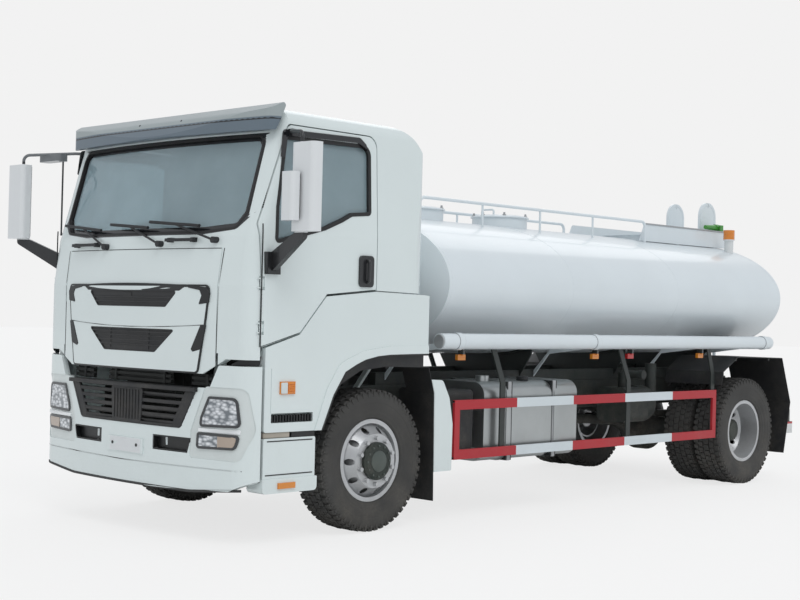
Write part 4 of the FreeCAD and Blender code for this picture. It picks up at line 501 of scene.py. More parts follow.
def grown(points, distance):
    """The outline moved outward by distance, or inward where it is negative."""
    area = sum(a.x * b.y - b.x * a.y for a, b in zip(points, points[1:] + points[:1]))
    way = math.copysign(1.0, area)
    moved = []
    for a, here, b in zip(points[-1:] + points[:-1], points, points[1:] + points[:1]):
        n0 = Vector(((here - a).y, -(here - a).x)).normalized()
        n1 = Vector(((b - here).y, -(b - here).x)).normalized()
        out = (n0 + n1).normalized()
        moved.append(here + out * distance * way / max(0.5, out.dot(n1)))
    return moved


def skinned(name, rings, place, loop=True):
    """Skin over rings of (a, b, lift) points, closed into a loop or else capped; place sets each in space."""
    count = len(rings[0])
    verts = [place(*point) for ring in rings for point in ring]
    faces = []
    for r in range(len(rings) if loop else len(rings) - 1):
        for i in range(count):
            j = (i + 1) % count
            s = (r + 1) % len(rings)
            faces.append((r * count + i, r * count + j, s * count + j, s * count + i))
    if not loop:
        faces += [range(count), range(len(verts) - count, len(verts))]
    piece = opened(name, verts, [], faces)
    bpy.ops.mesh.normals_make_consistent(inside=False)
    bpy.ops.object.mode_set(mode="OBJECT")
    return piece


LONGEST_RUN = 0.05


def dense(points, other):
    """Both outlines with extra points on long runs, so that they can follow a bowed skin."""
    fine = ([], [])
    for a, b, c, d in zip(points, points[1:] + points[:1], other, other[1:] + other[:1]):
        parts = max(1, round((b - a).length / LONGEST_RUN))
        for k in range(parts):
            fine[0].append(a.lerp(b, k / parts))
            fine[1].append(c.lerp(d, k / parts))
    return fine


def band(name, inner, outer, low, high, place):
    """Flat closed band between two outlines, low to high off the skin."""
    a, b = dense(inner, outer)
    rings = [[(p.x, p.y, h) for p in ring] for ring, h in ((a, low), (a, high), (b, high), (b, low))]
    return smooth(skinned(name, rings, place), 40.0)


def plate(name, outline, low, high, place, bevel=0.002):
    """Flat plate with its front edge bevelled, low to high off the skin."""
    inset = grown(outline, -bevel)
    rings = [(outline, low), (outline, high - bevel), (inset, high)]
    return smooth(skinned(name, [[(p.x, p.y, h) for p in ring] for ring, h in rings], place, False), 30.0)


def hand_over(piece, material, slot_name, *bodies):
    """Paints the piece and sends it with one body, or it and a mirror copy with the left and the right one."""
    painted(piece, material)
    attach(piece, bodies[0])
    if len(bodies) > 1:
        twin = piece.copy()
        twin.data = piece.data.copy()
        bpy.context.collection.objects.link(twin)
        twin.data.transform(Matrix.Scale(-1, 4, (1, 0, 0)))
        twin.data.flip_normals()
        twin.name = piece.name + "_right"
        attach(twin, bodies[1])


def flipped(side, corners):
    """The corners as they are for side 1, or mirrored for side -1."""
    return [(side * corner[0], *corner[1:]) for corner in corners]


def two_sided(*corners):
    """Rounded outline that is the same on both sides, from the corners of its half at positive X."""
    return rounded(flipped(-1, corners)[::-1] + list(corners))


SCREEN = two_sided((0.700, 2.128, 0.20), (1.000, 2.152, 0.07), (1.072, 2.255, 0.05), (1.072, 2.800, 0.08))
SURROUND = two_sided((0.700, 2.112, 0.20), (1.006, 2.144, 0.07), (1.152, 2.272, 0.05), (1.134, 2.815, 0.05))
printed_black = finish("printed_black", (0.012, 0.013, 0.015), 0.16, dust=0.0, mottle=0.2, coat=0.5)
seal_rubber = finish("seal_rubber", (0.016, 0.016, 0.017), 0.6, dust=0.1, dust_top=2.5, mottle=0.3)
screen_band = band("screen_band", grown(SCREEN, -0.038), grown(SCREEN, -0.0005), -0.0196, -0.0186, on_nose)
hand_over(screen_band, printed_black, "black_plastic", "cab")
surround = band("screen_surround", grown(SCREEN, 0.004), SURROUND, -0.001, 0.0016, on_nose)
hand_over(surround, printed_black, "black_plastic", "cab")
screen_seal = band("screen_seal", grown(SCREEN, -0.010), grown(SCREEN, 0.006), -0.0185, 0.003, on_nose)
hand_over(screen_seal, seal_rubber, "black_plastic", "cab")

# ------------------------ door trim
# Black rubber frames round the door windows, and a gloss black rain strip
# round the top of each.

WINDOW = rounded((
    (-1.050, 2.052, 0.03), (-0.590, 2.172, 0.06), (-0.420, 2.240, 0.04), (-0.330, 2.285, 0.04),
    (-0.140, 2.303, 0.03), (-0.140, 2.805, 0.08), (-0.960, 2.790, 0.03), (-1.040, 2.300, 0.06),
))
frame_seal = band("window_frame", grown(WINDOW, -0.022), grown(WINDOW, 0.005), -0.019, 0.003, on_side)
hand_over(frame_seal, seal_rubber, "black_plastic", "door_left", "door_right")
RAIN_STRIP = rounded((
    (-1.005, 2.640, 0.01), (-0.985, 2.835, 0.03), (-0.250, 2.852, 0.05), (-0.150, 2.780, 0.03),
    (-0.190, 2.765, 0.02), (-0.270, 2.812, 0.04), (-0.945, 2.795, 0.03), (-0.975, 2.640, 0.01),
))
rain_strip = plate("rain_strip", RAIN_STRIP, 0.003, 0.014, on_side)
hand_over(rain_strip, printed_black, "black_plastic", "door_left", "door_right")

# ------------------------ front panel
# The raised panel below the windscreen: a black joint line round it, dark corner
# pieces, a split line, louvres behind its two air intakes, and two grab handles.

def oblong(x0, x1, z0, z1):
    return [Vector((x0, z0)), Vector((x1, z0)), Vector((x1, z1)), Vector((x0, z1))]


def flat_bars(outline, levels, half, low, high, place):
    """Level bars across an outline of (x, z) points, each ending where the outline does."""
    pieces = []
    for z in levels:
        ends = [a.x + (b.x - a.x) * (z - a.y) / (b.y - a.y)
                for a, b in zip(outline, outline[1:] + outline[:1]) if (a.y - z) * (b.y - z) < 0]
        x0 = min(ends)
        x1 = max(ends)
        count = max(1, round((x1 - x0) / LONGEST_RUN))
        top = [Vector((x0 + (x1 - x0) * k / count, z + half)) for k in range(count + 1)]
        foot = [Vector((p.x, z - half)) for p in reversed(top)]
        pieces.append(plate("bar", top + foot, low, high, place, min(half, 0.003) * 0.6))
    return pieces


def upright(x, z0, z1, half, low, high, place):
    return plate("upright", oblong(x - half, x + half, z0, z1), low, high, place, min(half, 0.003) * 0.6)


def filled(name, corners, low, high, place, bevel=0.002, steps=5):
    """Flat plate inside rounded corners, with points enough to follow the bow."""
    outline = rounded(corners, steps)
    return plate(name, dense(outline, outline)[0], low, high, place, bevel)


def seam(name, line, half, low, high, place, bevel):
    """Thin strip along a line of (a, b) points; half is the step from the line to the strip's edge."""
    step = Vector(half)
    return plate(name, [p + step for p in line] + [p - step for p in reversed(line)], low, high, place, bevel)


PANEL = two_sided((0.835, 1.752, 0.03), (0.800, 1.500, 0.4), (0.740, 1.165, 0.025))
# Outline, heights of the louvres, and places of the uprights of each air intake.
INTAKES = (
    (two_sided((0.535, 1.722, 0.015), (0.410, 1.605, 0.025)), (1.640, 1.672), ()),
    (two_sided((0.515, 1.450, 0.010), (0.305, 1.285, 0.025)), (1.333, 1.365, 1.397, 1.425), (-0.23, 0.23)),
)
line_black = finish("line_black", (0.010, 0.011, 0.012), 0.35, dust=0.1, mottle=0.3)
panel_line = band("panel_line", grown(PANEL, 0.0005), grown(PANEL, 0.0125), -0.001, 0.0092, on_nose)
hand_over(panel_line, line_black, "black_plastic", "cab")
PANEL_CORNER = (
    (0.848, 1.712, 0.02), (0.820, 1.748, 0.02), (0.640, 1.758, 0.004), (0.640, 1.742, 0.004), (0.752, 1.726, 0.01),
    (0.772, 1.690, 0.008), (0.745, 1.628, 0.006), (0.838, 1.640, 0.006),
)
PANEL_WEDGE = (
    (0.818, 1.490, 0.008), (0.770, 1.490, 0.01), (0.680, 1.318, 0.01), (0.700, 1.302, 0.01), (0.778, 1.322, 0.01),
)
trims = []
for s in (-1, 1):
    trims.append(filled("corner", flipped(s, PANEL_CORNER), 0.002, 0.014, on_nose))
    trims.append(filled("wedge", flipped(s, PANEL_WEDGE), 0.002, 0.014, on_nose, 0.003))
# Two shallow arcs: the line that splits the panel, and the brow along its top.
split = [Vector((0.05 * k - 0.80, 1.489 - 0.028 * (1 - ((k - 16) / 16) ** 2))) for k in range(33)]
trims.append(seam("split_line", split, (0.0, 0.0025), 0.0095, 0.0112, on_nose, 0.0005))
brow = [Vector((0.05 * k - 0.70, 1.757 + 0.016 * (1 - ((k - 14) / 14) ** 2))) for k in range(29)]
trims.append(plate("brow", brow + [Vector((p.x, 1.720 if abs(p.x) < 0.56 else 1.746)) for p in reversed(brow)],
                   0.001, 0.0125, on_nose))
hand_over(joined("panel_trim", trims), line_black, "black_plastic", "cab")
louvres = []
for outline, levels, uprights in INTAKES:
    louvres.append(band("rim", grown(outline, -0.008), grown(outline, -0.0015), 0.004, 0.012, on_nose))
    louvres += flat_bars(grown(outline, -0.006), levels, 0.0055, 0.004, 0.013, on_nose)
    for x in uprights:
        louvres.append(upright(x, min(levels) - 0.03, max(levels) + 0.015, 0.005, 0.004, 0.010, on_nose))
SOCKET = ((-0.10, 1.668, 0.01), (0.02, 1.668, 0.01), (0.02, 1.706, 0.01), (-0.10, 1.706, 0.01))
louvres.append(filled("socket", SOCKET, 0.004, 0.009, on_nose))
hand_over(joined("panel_louvres", louvres), black_plastic, "black_plastic", "cab")

# Grab handles under the screen, on two feet each: from X, to X, height.
handles = []
for x0, x1, z in ((-0.817, -0.466, 2.055), (0.379, 0.666, 2.075)):
    handles += flat_bars(oblong(x0, x1, z - 0.02, z + 0.02), (z,), 0.011, 0.030, 0.052, on_nose)
    for x in (x0 + 0.025, x1 - 0.025):
        handles.append(upright(x, z - 0.016, z + 0.016, 0.018, -0.001, 0.036, on_nose))
hand_over(joined("front_grips", handles), black_plastic, "black_plastic", "cab")

# ------------------------ bumper
# Painted steel bumper with a black lower lip and a step seam, a slotted mouth
# piece, a dark channel under the cab, tow slots and a blank plate on two screws.

FACE_Y = -1.345
BUMPER_HALF = 1.245
BUMPER_CORNER = 0.190


def on_bumper(x, z, lift):
    """Place a little off the bumper's face, bowed like the cab but upright."""
    return bowed(x, z, lift, AXLE_Y + FACE_Y, BUMPER_HALF, BUMPER_CORNER)


def bumper_low(x):
    """Height of the bumper's lower edge."""
    return 0.343 + 0.030 * max(0.0, (abs(x) - 0.70) / 0.36)


dark_trim = []
across = [-1.16 + 0.04 * k for k in range(59)]
lip = [Vector((x, bumper_low(x) + 0.014)) for x in across]
lip += [Vector((x, bumper_low(x) - 0.004)) for x in reversed(across)]
dark_trim.append(plate("lower_lip", lip, -0.004, 0.003, on_bumper, 0.001))
step_line = [Vector((x, 0.505 + 0.010 * abs(x))) for x in across]
dark_trim.append(seam("step_seam", step_line, (0.0, 0.003), -0.001, 0.0012, on_bumper, 0.0004))
hand_over(joined("bumper_lines", dark_trim), line_black, "black_plastic", "chassis")

MOUTH = two_sided((0.775, 1.058, 0.01), (0.745, 1.030, 0.03), (0.598, 0.772, 0.04))
MOUTH_BLOCK = ((-0.17, 0.775, 0.02), (0.17, 0.775, 0.02), (0.19, 1.030, 0.02), (-0.19, 1.030, 0.02))
MOUTH_CHEEK = ((0.598, 0.775, 0.03), (0.738, 1.030, 0.02), (0.640, 1.030, 0.02), (0.500, 0.775, 0.02))
MOUTH_BACK = -0.016
mouth = flat_bars(MOUTH, (0.800, 0.848, 0.896, 0.944, 0.992), 0.013, MOUTH_BACK, 0.002, on_bumper)
mouth += flat_bars(MOUTH, (1.043,), 0.014, MOUTH_BACK, 0.030, on_bumper)
mouth.append(filled("middle_block", MOUTH_BLOCK, MOUTH_BACK, 0.006, on_bumper, 0.004))
for k in range(-4, 5):
    mouth.append(upright(k * 0.036, 0.800, 1.010, 0.005, 0.004, 0.012, on_bumper))
for s in (-1, 1):
    mouth.append(filled("cheek", flipped(s, MOUTH_CHEEK), MOUTH_BACK, 0.004, on_bumper, 0.004))
mouth.append(band("mouth_rim", grown(MOUTH, -0.020), grown(MOUTH, -0.002), MOUTH_BACK, 0.005, on_bumper))
hand_over(joined("mouth_piece", mouth), black_plastic, "black_plastic", "chassis")

# Dark channel between the bumper's top and the cab, with cooler pipes in it. It
# is in three runs, with the cab's two tilt arms between them.
CHANNEL_BACK = -0.112
channel = []
for x0, x1 in ((-0.88, -0.60), (-0.38, 0.38), (0.60, 0.88)):
    run = oblong(x0, x1, 1.062, 1.150)
    channel.append(filled("channel", run, CHANNEL_BACK - 0.008, CHANNEL_BACK, on_bumper))
    channel += flat_bars(run, (1.080, 1.118), 0.012, CHANNEL_BACK, -0.092, on_bumper)
for x in (-0.72, -0.28, 0.31, 0.76):
    channel.append(upright(x, 1.062, 1.148, 0.014, CHANNEL_BACK, -0.086, on_bumper))
hand_over(joined("cooler_channel", channel), cast_metal, "frame_paint", "chassis")

TOW_SLOT = (
    (0.316, 0.609, 0.01), (0.367, 0.609, 0.01), (0.668, 0.609, 0.02), (0.699, 0.706, 0.01), (0.316, 0.706, 0.01),
)
slots = []
for s in (-1, 1):
    corners = flipped(s, TOW_SLOT)
    slots.append(filled("slot_floor", corners, -0.046, -0.040, on_bumper))
    outline = rounded(corners)
    slots.append(band("slot_rim", grown(outline, -0.007), grown(outline, 0.001), -0.040, -0.001, on_bumper))
hand_over(joined("tow_slots", slots), line_black, "black_plastic", "chassis")
BLANK_PLATE = ((-0.206, 0.564, 0.012), (0.206, 0.564, 0.012), (0.206, 0.664, 0.012), (-0.206, 0.664, 0.012))
plate_metal = finish("plate_metal", (0.72, 0.74, 0.75), 0.35, dust=0.1, mottle=0.05, metal=0.2)
plate_face = filled("blank_plate", BLANK_PLATE, 0.0065, 0.0095, on_bumper, 0.001)
hand_over(plate_face, plate_metal, "white_paint", "chassis")


def screws(spots, radius, height, place):
    """Round screw heads at (a, b, lift) spots, with a small flat rim."""
    heads = []
    round_trip = [math.tau * k / 10 for k in range(10)]
    for a, b, lift in spots:
        rings = [[(a + r * math.cos(turn), b + r * math.sin(turn), lift + rise) for turn in round_trip]
                 for r, rise in ((radius, 0.0), (radius, height * 0.6), (radius * 0.7, height))]
        heads.append(skinned("screw", rings, place, False))
    return heads


plate_screws = screws([(-0.150, 0.618, 0.009), (0.138, 0.618, 0.009)], 0.012, 0.005, on_bumper)
hand_over(joined("plate_screws", plate_screws), line_black, "black_plastic", "chassis")

# ------------------------ headlamps
# Tall lamp units: a pale bezel, an upper and a lower lens of facets with painted bright
# and dark glints, in dark rims, a light strip between them, and a tinted half over the lower lens.

# Painted reflection: bright and dark cells in the reflector's colour stand in for the light its facets reflect.
def painted_facet_glints(tree, place):
    stretch = added(tree, "Mapping", Vector=place, Scale=(1.0, 1.0, 1.9))
    cells = added(tree, "TexVoronoi", Vector=stretch.outputs[0], Scale=24.0)
    split = ranged(tree, cells.outputs["Distance"], 0.15, 0.75)
    return mixed(tree, split, (0.85, 0.87, 0.90, 1.0), (0.16, 0.18, 0.20, 1.0))


lamp_bezel = finish("lamp_bezel", (0.66, 0.71, 0.70), 0.3, dust=0.15, mottle=0.1, coat=0.5)
# The reflector's colour carries painted glints on its facets.
reflector = finish("lamp_reflector", (0.8, 0.8, 0.8), 0.12, dust=0.0, metal=0.6, coat=1.0, grain=40, bump=0.5,
                   depth=0.003, colour_from=painted_facet_glints)
lamp_dark = finish("lamp_dark", (0.03, 0.032, 0.036), 0.3, dust=0.1, mottle=0.2, coat=0.4)
lamp_tint = finish("lamp_tint", (0.42, 0.33, 0.26), 0.15, dust=0.05, mottle=0.3, coat=1.0, grain=60, bump=0.4,
                   depth=0.002)
lamp_white = finish("strip_lamp", (0.86, 0.88, 0.89), 0.2, dust=0.05, mottle=0.05, coat=0.6)
clad(lamp_bezel, "headlamps")
UPPER_LENS = (
    (0.868, 1.000, 0.020), (1.118, 1.000, 0.045), (1.146, 0.810, 0.03), (0.790, 0.800, 0.02), (0.800, 0.860, 0.05),
)
LOWER_LENS = ((0.770, 0.750, 0.015), (1.140, 0.750, 0.02), (1.112, 0.660, 0.04), (0.765, 0.650, 0.02))
for name, corners in (("upper", UPPER_LENS), ("lower", LOWER_LENS)):
    outline = rounded(corners)
    rim = band(name + "_lamp_rim", grown(outline, -0.012), grown(outline, 0.006), -0.007, 0.004, on_bumper)
    hand_over(rim, lamp_dark, "black_plastic", "chassis", "chassis")
    lens = filled(name + "_lens", grown(outline, -0.010), -0.007, 0.001, on_bumper)
    hand_over(lens, reflector, "lamp_lens", "chassis", "chassis")
TINTED_HALF = ((0.955, 0.742, 0.01), (1.124, 0.742, 0.02), (1.100, 0.668, 0.03), (0.955, 0.662, 0.01))
LIGHT_STRIP = ((0.780, 0.786, 0.004), (1.150, 0.792, 0.006), (1.146, 0.762, 0.006), (0.775, 0.760, 0.004))
tinted = filled("tinted_lens", TINTED_HALF, 0.000, 0.004, on_bumper)
hand_over(tinted, lamp_tint, "lamp_lens", "chassis", "chassis")
strip_lamp = filled("strip_lamp", LIGHT_STRIP, -0.006, 0.006, on_bumper)
hand_over(strip_lamp, lamp_white, "lamp_lens", "chassis", "chassis")

# ------------------------ cab corner
# Shut lines round the front lid and before the doors, a dotted seal down each
# windscreen pillar, and dark fillers between the cab's corner and the bumper.

lid_lines = []
for s in (-1, 1):
    heights = [1.245 + 0.0385 * k for k in range(21)]
    line = [Vector((s * (0.912 + 0.018 * ((z - 1.25) / 0.75) ** 2), z)) for z in heights]
    lid_lines.append(seam("side_seam", line, (-0.0035, 0.0), -0.002, 0.0012, on_nose, 0.0005))
top = [Vector((0.05 * k - 0.90, 2.015)) for k in range(37)]
lid_lines.append(seam("top_seam", top, (0.0, -0.002), -0.002, 0.0010, on_nose, 0.0005))
hand_over(joined("lid_seams", lid_lines), line_black, "black_plastic", "cab")
door_line = [Vector((-1.161, 1.352 + 0.0276 * k)) for k in range(31)]
seam_strip = seam("door_seam", door_line, (0.0045, 0.0), -0.003, 0.0010, on_side, 0.0004)
hand_over(seam_strip, line_black, "black_plastic", "cab", "cab")
pillar = []
for k in range(34):
    rise = 0.0155 * k
    pillar.append(upright(1.172 - 0.02 * rise, 2.29 + rise, 2.301 + rise, 0.0035, -0.001, 0.003, on_nose))
hand_over(joined("pillar_seal", pillar), line_black, "black_plastic", "cab", "cab")
CORNER_FILLER = ((1.04, 1.222, 0.005), (1.228, 1.222, 0.01), (1.232, 1.300, 0.01))
wedge = filled("corner_filler", CORNER_FILLER, -0.03, -0.004, on_bumper)
hand_over(wedge, line_black, "black_plastic", "chassis", "chassis")
gap_filler = bar((1.10, AXLE_Y - 1.1335, 0.44), (1.216, AXLE_Y - 1.1190, 1.195), 0.002)
hand_over(gap_filler, line_black, "black_plastic", "chassis", "chassis")

# ------------------------ steps and fender
# A toothed tread in the upper step, dark lines, a post block and a block of painted
# shade in the others, a clear and an amber half on the side lamp, and a dark seal
# round the arch.

def on_shell(y, z, lift):
    return (SIDE_X + lift, AXLE_Y + y, z)


teeth = []
for k in range(15):
    y = 0.0255 * k - 1.040
    corners = ((y, 0.842, 0.002), (y + 0.014, 0.842, 0.002), (y + 0.014, 0.890, 0.004), (y, 0.890, 0.004))
    teeth.append(filled("tooth", corners, -0.040, -0.008, on_shell, 0.002, 1))
hand_over(joined("tread_teeth", teeth), line_black, "black_plastic", "chassis", "chassis")
pads = []
for z, y0, y1 in ((0.487, -1.090, -0.660), (0.715, -1.080, -0.665)):
    pads.append(bar((1.06, AXLE_Y + y0, z - 0.004), (1.2375, AXLE_Y + y1, z + 0.004), 0.001))
hand_over(joined("tread_lines", pads), line_black, "black_plastic", "chassis", "chassis")
# A dark block of painted shade beside the step post.
shade_block = bar((1.205, AXLE_Y - 0.86, 0.7365), (1.2362, AXLE_Y - 0.645, 0.7735), 0.003)
hand_over(shade_block, line_black, "black_plastic", "chassis", "chassis")
post_block = bar((1.10, AXLE_Y - 1.105, 0.7365), (1.228, AXLE_Y - 0.87, 0.7735), 0.006, 2)
step_post = finish("step_post", (0.42, 0.38, 0.32), 0.7, dust=0.4, mottle=0.3)
hand_over(post_block, step_post, "grey_plastic", "chassis", "chassis")
CLEAR_HALF = ((-0.976, 1.036, 0.008), (-0.918, 1.036, 0.004), (-0.918, 1.112, 0.004), (-0.976, 1.112, 0.008))
clear_half = filled("clear_half", CLEAR_HALF, 0.0122, 0.0175, on_shell)
hand_over(clear_half, lamp_bezel, "lamp_lens", "chassis", "chassis")
amber = finish("amber_lens", (0.75, 0.23, 0.02), 0.2, dust=0.05, coat=0.5)
levels = [1.045 + 0.0145 * k for k in range(5)]
grid = flat_bars(oblong(-0.912, -0.850, 1.0, 1.2), levels, 0.0042, 0.0122, 0.0180, on_shell)
hand_over(joined("amber_grid", grid), amber, "amber_lens", "chassis", "chassis")

ARCH = [Vector(p) for p in (
    (-0.585, 0.776), (-0.478, 1.016), (-0.366, 1.176), (-0.255, 1.228), (-0.169, 1.260), (-0.04, 1.285),
    (0.088, 1.295), (0.30, 1.299), (0.498, 1.301))]


def offset_line(points, distance):
    """Open line moved sideways by distance, to the left of its direction."""
    moved = []
    for i, here in enumerate(points):
        way = (points[min(i + 1, len(points) - 1)] - points[max(i - 1, 0)]).normalized()
        moved.append(here + Vector((-way.y, way.x)) * distance)
    return moved


arch_edges = offset_line(ARCH, -0.012) + offset_line(ARCH, 0.002)[::-1]
arch_seal = plate("arch_seal", arch_edges, -0.012, 0.0095, on_shell, 0.0006)
hand_over(arch_seal, seal_rubber, "black_plastic", "chassis", "chassis")

# ------------------------ mirrors
# White covers on black arms, with silvered glass in a black frame facing the
# driver; the kerb mirror over the far side is grey.

def axes(tree, place):
    """X, Y and Z of a place, each as a socket."""
    return added(tree, "SeparateXYZ", Vector=place).outputs


def over(tree, value, edge):
    return maths(tree, "GREATER_THAN", value, edge)


def under(tree, value, edge):
    return maths(tree, "LESS_THAN", value, edge)


def both(tree, *masks):
    """1 where every mask is 1."""
    whole = masks[0]
    for mask in masks[1:]:
        whole = maths(tree, "MULTIPLY", whole, mask)
    return whole


def mirror_colours(tree, place):
    """White covers, black arms, and grey above them on the right for the kerb mirror."""
    x, y, z = axes(tree, place)
    cover = over(tree, maths(tree, "ABSOLUTE", x), 1.455)
    white = both(tree, cover, under(tree, z, 2.715), over(tree, z, 2.115))
    kerb = both(tree, over(tree, z, 2.735), under(tree, x, -1.24))
    dark = mixed(tree, kerb, (0.018, 0.019, 0.021, 1.0), (0.16, 0.17, 0.18, 1.0))
    return mixed(tree, white, dark, (0.74, 0.76, 0.77, 1.0))


mirror_paint = finish("mirror_paint", (0.5, 0.5, 0.5), 0.3, dust=0.05, dust_top=3.0, mottle=0.05, coat=0.3,
                      colour_from=mirror_colours)
clad(mirror_paint, "mirror_left", "mirror_right")
silvered, mirror_tree, mirror_shader, mirror_place = base_material("mirror_glass")
film = ranged(mirror_tree, noise(mirror_tree, mirror_place, 5.0, 4.0), 0.3, 0.8)
silver = mixed(mirror_tree, film, (0.78, 0.81, 0.83, 1.0), (0.70, 0.73, 0.75, 1.0))
cloud = ranged(mirror_tree, noise(mirror_tree, mirror_place, 14.0, 5.0), 0.35, 0.75, 0.02, 0.09)
for socket, value in (("Metallic", 1.0), ("Base Color", silver), ("Roughness", cloud)):
    fill(mirror_tree, mirror_shader.inputs[socket], value)
# Each glass: from X, to X, place of its face from the front axle, from Z, to Z.
for name, body, x0, x1, y, z0, z1 in (
    ("left_main", "door_left", 1.485, 1.689, -1.060, 2.137, 2.693),
    ("left_wide", "door_left", 1.475, 1.589, -1.1615, 2.204, 2.496),
    ("right_main", "door_right", -1.689, -1.485, -1.256, 2.137, 2.693),
):
    face = AXLE_Y + y
    rim = bar((x0, face - 0.002, z0), (x1, face + 0.005, z1), 0.003, 2)
    rim.name = name + "_frame"
    hand_over(rim, printed_black, "black_plastic", body)
    pane = bar((x0 + 0.008, face + 0.001, z0 + 0.008), (x1 - 0.008, face + 0.0065, z1 - 0.008), 0.0008)
    pane.name = name + "_pane"
    hand_over(pane, silvered, "window_glass", body)

# ------------------------ visor
# Two shades of moulded grey with a toothed black mesh line between them, small
# fixing screws, and a white lamp let into each end.

def visor_tones(tree, place):
    """Dark below and pale above, with a black line between whose upper edge is toothed."""
    x, y, z = axes(tree, place)
    tone = mixed(tree, ranged(tree, z, 2.916, 2.922), (0.125, 0.165, 0.200, 1.0), (0.345, 0.390, 0.395, 1.0))
    teeth = maths(tree, "PINGPONG", maths(tree, "MULTIPLY", x, 40.0), 1.0)
    edge = maths(tree, "ADD", maths(tree, "MULTIPLY", teeth, 0.006), 2.905)
    mesh_line = both(tree, over(tree, z, 2.899), under(tree, z, edge))
    return mixed(tree, mesh_line, tone, (0.012, 0.013, 0.015, 1.0))


visor_paint = finish("visor_paint", (0.1, 0.1, 0.1), 0.32, dust=0.0, mottle=0.1, coat=0.25,
                     colour_from=visor_tones)
clad(visor_paint, "sun_visor")


VISOR_LIP = (-1.168, 2.838)
VISOR_SLOPE = 0.50


def on_visor(x, z, lift):
    """Place a little off the visor's sloping face, bowed like the cab."""
    tip = VISOR_LIP[0] + max(0.0, z - VISOR_LIP[1]) * VISOR_SLOPE
    bow = NOSE_BOW - math.sqrt(NOSE_BOW ** 2 - x ** 2)
    return (x, AXLE_Y + tip + bow - lift, z + lift * 0.45)


spots = [(x, 2.868, 0.0) for x in (-0.95, -0.36, 0.36, 0.95)]
spots += [(x, 2.945, 0.0) for x in (-0.80, -0.25, 0.25, 0.80)]
visor_bits = screws(spots, 0.008, 0.006, on_visor)
hand_over(joined("visor_screws", visor_bits), line_black, "black_plastic", "cab")

END_LAMP = ((0.86, 2.945, 0.006), (1.12, 2.950, 0.008), (1.12, 2.980, 0.008), (0.87, 2.973, 0.006))
end_lamp = filled("visor_lamp", END_LAMP, -0.004, 0.010, on_visor)
hand_over(end_lamp, lamp_bezel, "lamp_lens", "cab", "cab")

# ------------------------ tank dress
# White paint with weld seams round the oval barrel, and steel strap rings and
# end caps on the hose tubes along its sides.

TANK_Z = 1.84
TANK_A = 1.15
TANK_B = 0.58
TUBE_X = 1.220
TUBE_Z = 1.396


def ring_on_tank(y, half, lift, thick):
    """Band round the oval barrel at a place along it."""
    rings = []
    for k in range(72):
        across = math.cos(math.tau * k / 72)
        up = math.sin(math.tau * k / 72)
        out = Vector((across / TANK_A, up / TANK_B)).normalized()
        spot = Vector((TANK_A * across, TANK_B * up))
        a = spot + out * lift
        b = spot + out * (lift + thick)
        rings.append([(p.x, AXLE_Y + y + off, TANK_Z + p.y)
                      for p, off in ((a, -half), (b, -half), (b, half), (a, half))])
    return smooth(skinned("tank_ring", rings, lambda *spot: spot), 40.0)


def stood(piece, spot, angle, axis):
    """A turned piece with its X axis swung about another one and its origin set at spot."""
    piece.data.transform(Matrix.Translation(spot) @ Matrix.Rotation(angle, 4, axis))
    return piece


tank_white = finish("tank_white", (0.71, 0.77, 0.80), 0.28, dust=0.05, dust_top=2.4, mottle=0.04, coat=0.3)
clad(tank_white, "tank", "manhole_collars", "manhole_lid_front", "manhole_lid_rear", "tank_platform",
     "side_tubes")
seams = [ring_on_tank(y, 0.006, -0.001, 0.0022) for y in (0.86, 2.42, 4.05, 5.91)]
hand_over(joined("weld_seams", seams), tank_white, "tank_paint", "chassis")
strap_metal = finish("strap_metal", (0.42, 0.43, 0.44), 0.4, dust=0.2, mottle=0.2, metal=0.6)
STRAP = ((-0.007, 0.0615), (0.007, 0.0615), (0.007, 0.0665), (-0.007, 0.0665), (-0.007, 0.0615))
TUBE_CAP = ((-0.004, 0.0005), (-0.004, 0.050), (0.000, 0.054), (0.004, 0.054), (0.004, 0.0005))
strap_rings = [
    smooth(stood(turned("strap", STRAP), (TUBE_X, AXLE_Y + y + shift, TUBE_Z), math.pi / 2, "Z"))
    for y in (0.842, 2.623, 5.471) for shift in (-0.024, 0.024)
]
hand_over(joined("tube_straps", strap_rings), strap_metal, "bare_steel", "chassis", "chassis")
caps = [
    stood(turned("cap", TUBE_CAP), (TUBE_X, AXLE_Y + y, TUBE_Z), math.pi / 2, "Z") for y in (0.6365, 5.5935)
]
hand_over(joined("tube_caps", caps), strap_metal, "bare_steel", "chassis", "chassis")

# ------------------------ side guards
# Rails striped red and white along their length, on legs in the frame's colour.

def guard_stripes(tree, place):
    """Stripes of 0.76 m on the rails, and frame paint on the legs inside and above them."""
    x, y, z = axes(tree, place)
    step = maths(tree, "DIVIDE", maths(tree, "ADD", y, -AXLE_Y - 0.86), 0.76 * 2)
    odd = under(tree, maths(tree, "FRACT", step), 0.5)
    stripe = mixed(tree, odd, (0.66, 0.72, 0.75, 1.0), (0.44, 0.012, 0.022, 1.0))
    rail = both(tree, over(tree, maths(tree, "ABSOLUTE", x), 1.1772), under(tree, z, 0.943))
    return mixed(tree, rail, (*FRAME_TONE, 1.0), stripe)


clad(finish("guard_paint", (0.6, 0.05, 0.05), 0.4, dust=0.15, colour_from=guard_stripes), "side_guards")

# ------------------------ wheel dress
# Silvered rims with dark hub caps; the front caps have a dome and a ring of
# twelve small bolts.

def hub_mask(centre_y, radius, lowest_x):
    """Colours of a rim: dark within radius of the axle and further out than lowest_x, and silver elsewhere."""
    def colours(tree, place):
        x, y, z = axes(tree, place)
        dy = maths(tree, "SUBTRACT", y, centre_y)
        dz = maths(tree, "SUBTRACT", z, AXLE_Z)
        reach = maths(tree, "ADD", maths(tree, "MULTIPLY", dy, dy), maths(tree, "MULTIPLY", dz, dz))
        inside = under(tree, maths(tree, "SQRT", reach), radius)
        cap = both(tree, inside, over(tree, maths(tree, "ABSOLUTE", x), lowest_x))
        return mixed(tree, cap, (0.56, 0.57, 0.58, 1.0), (0.030, 0.040, 0.036, 1.0))
    return colours


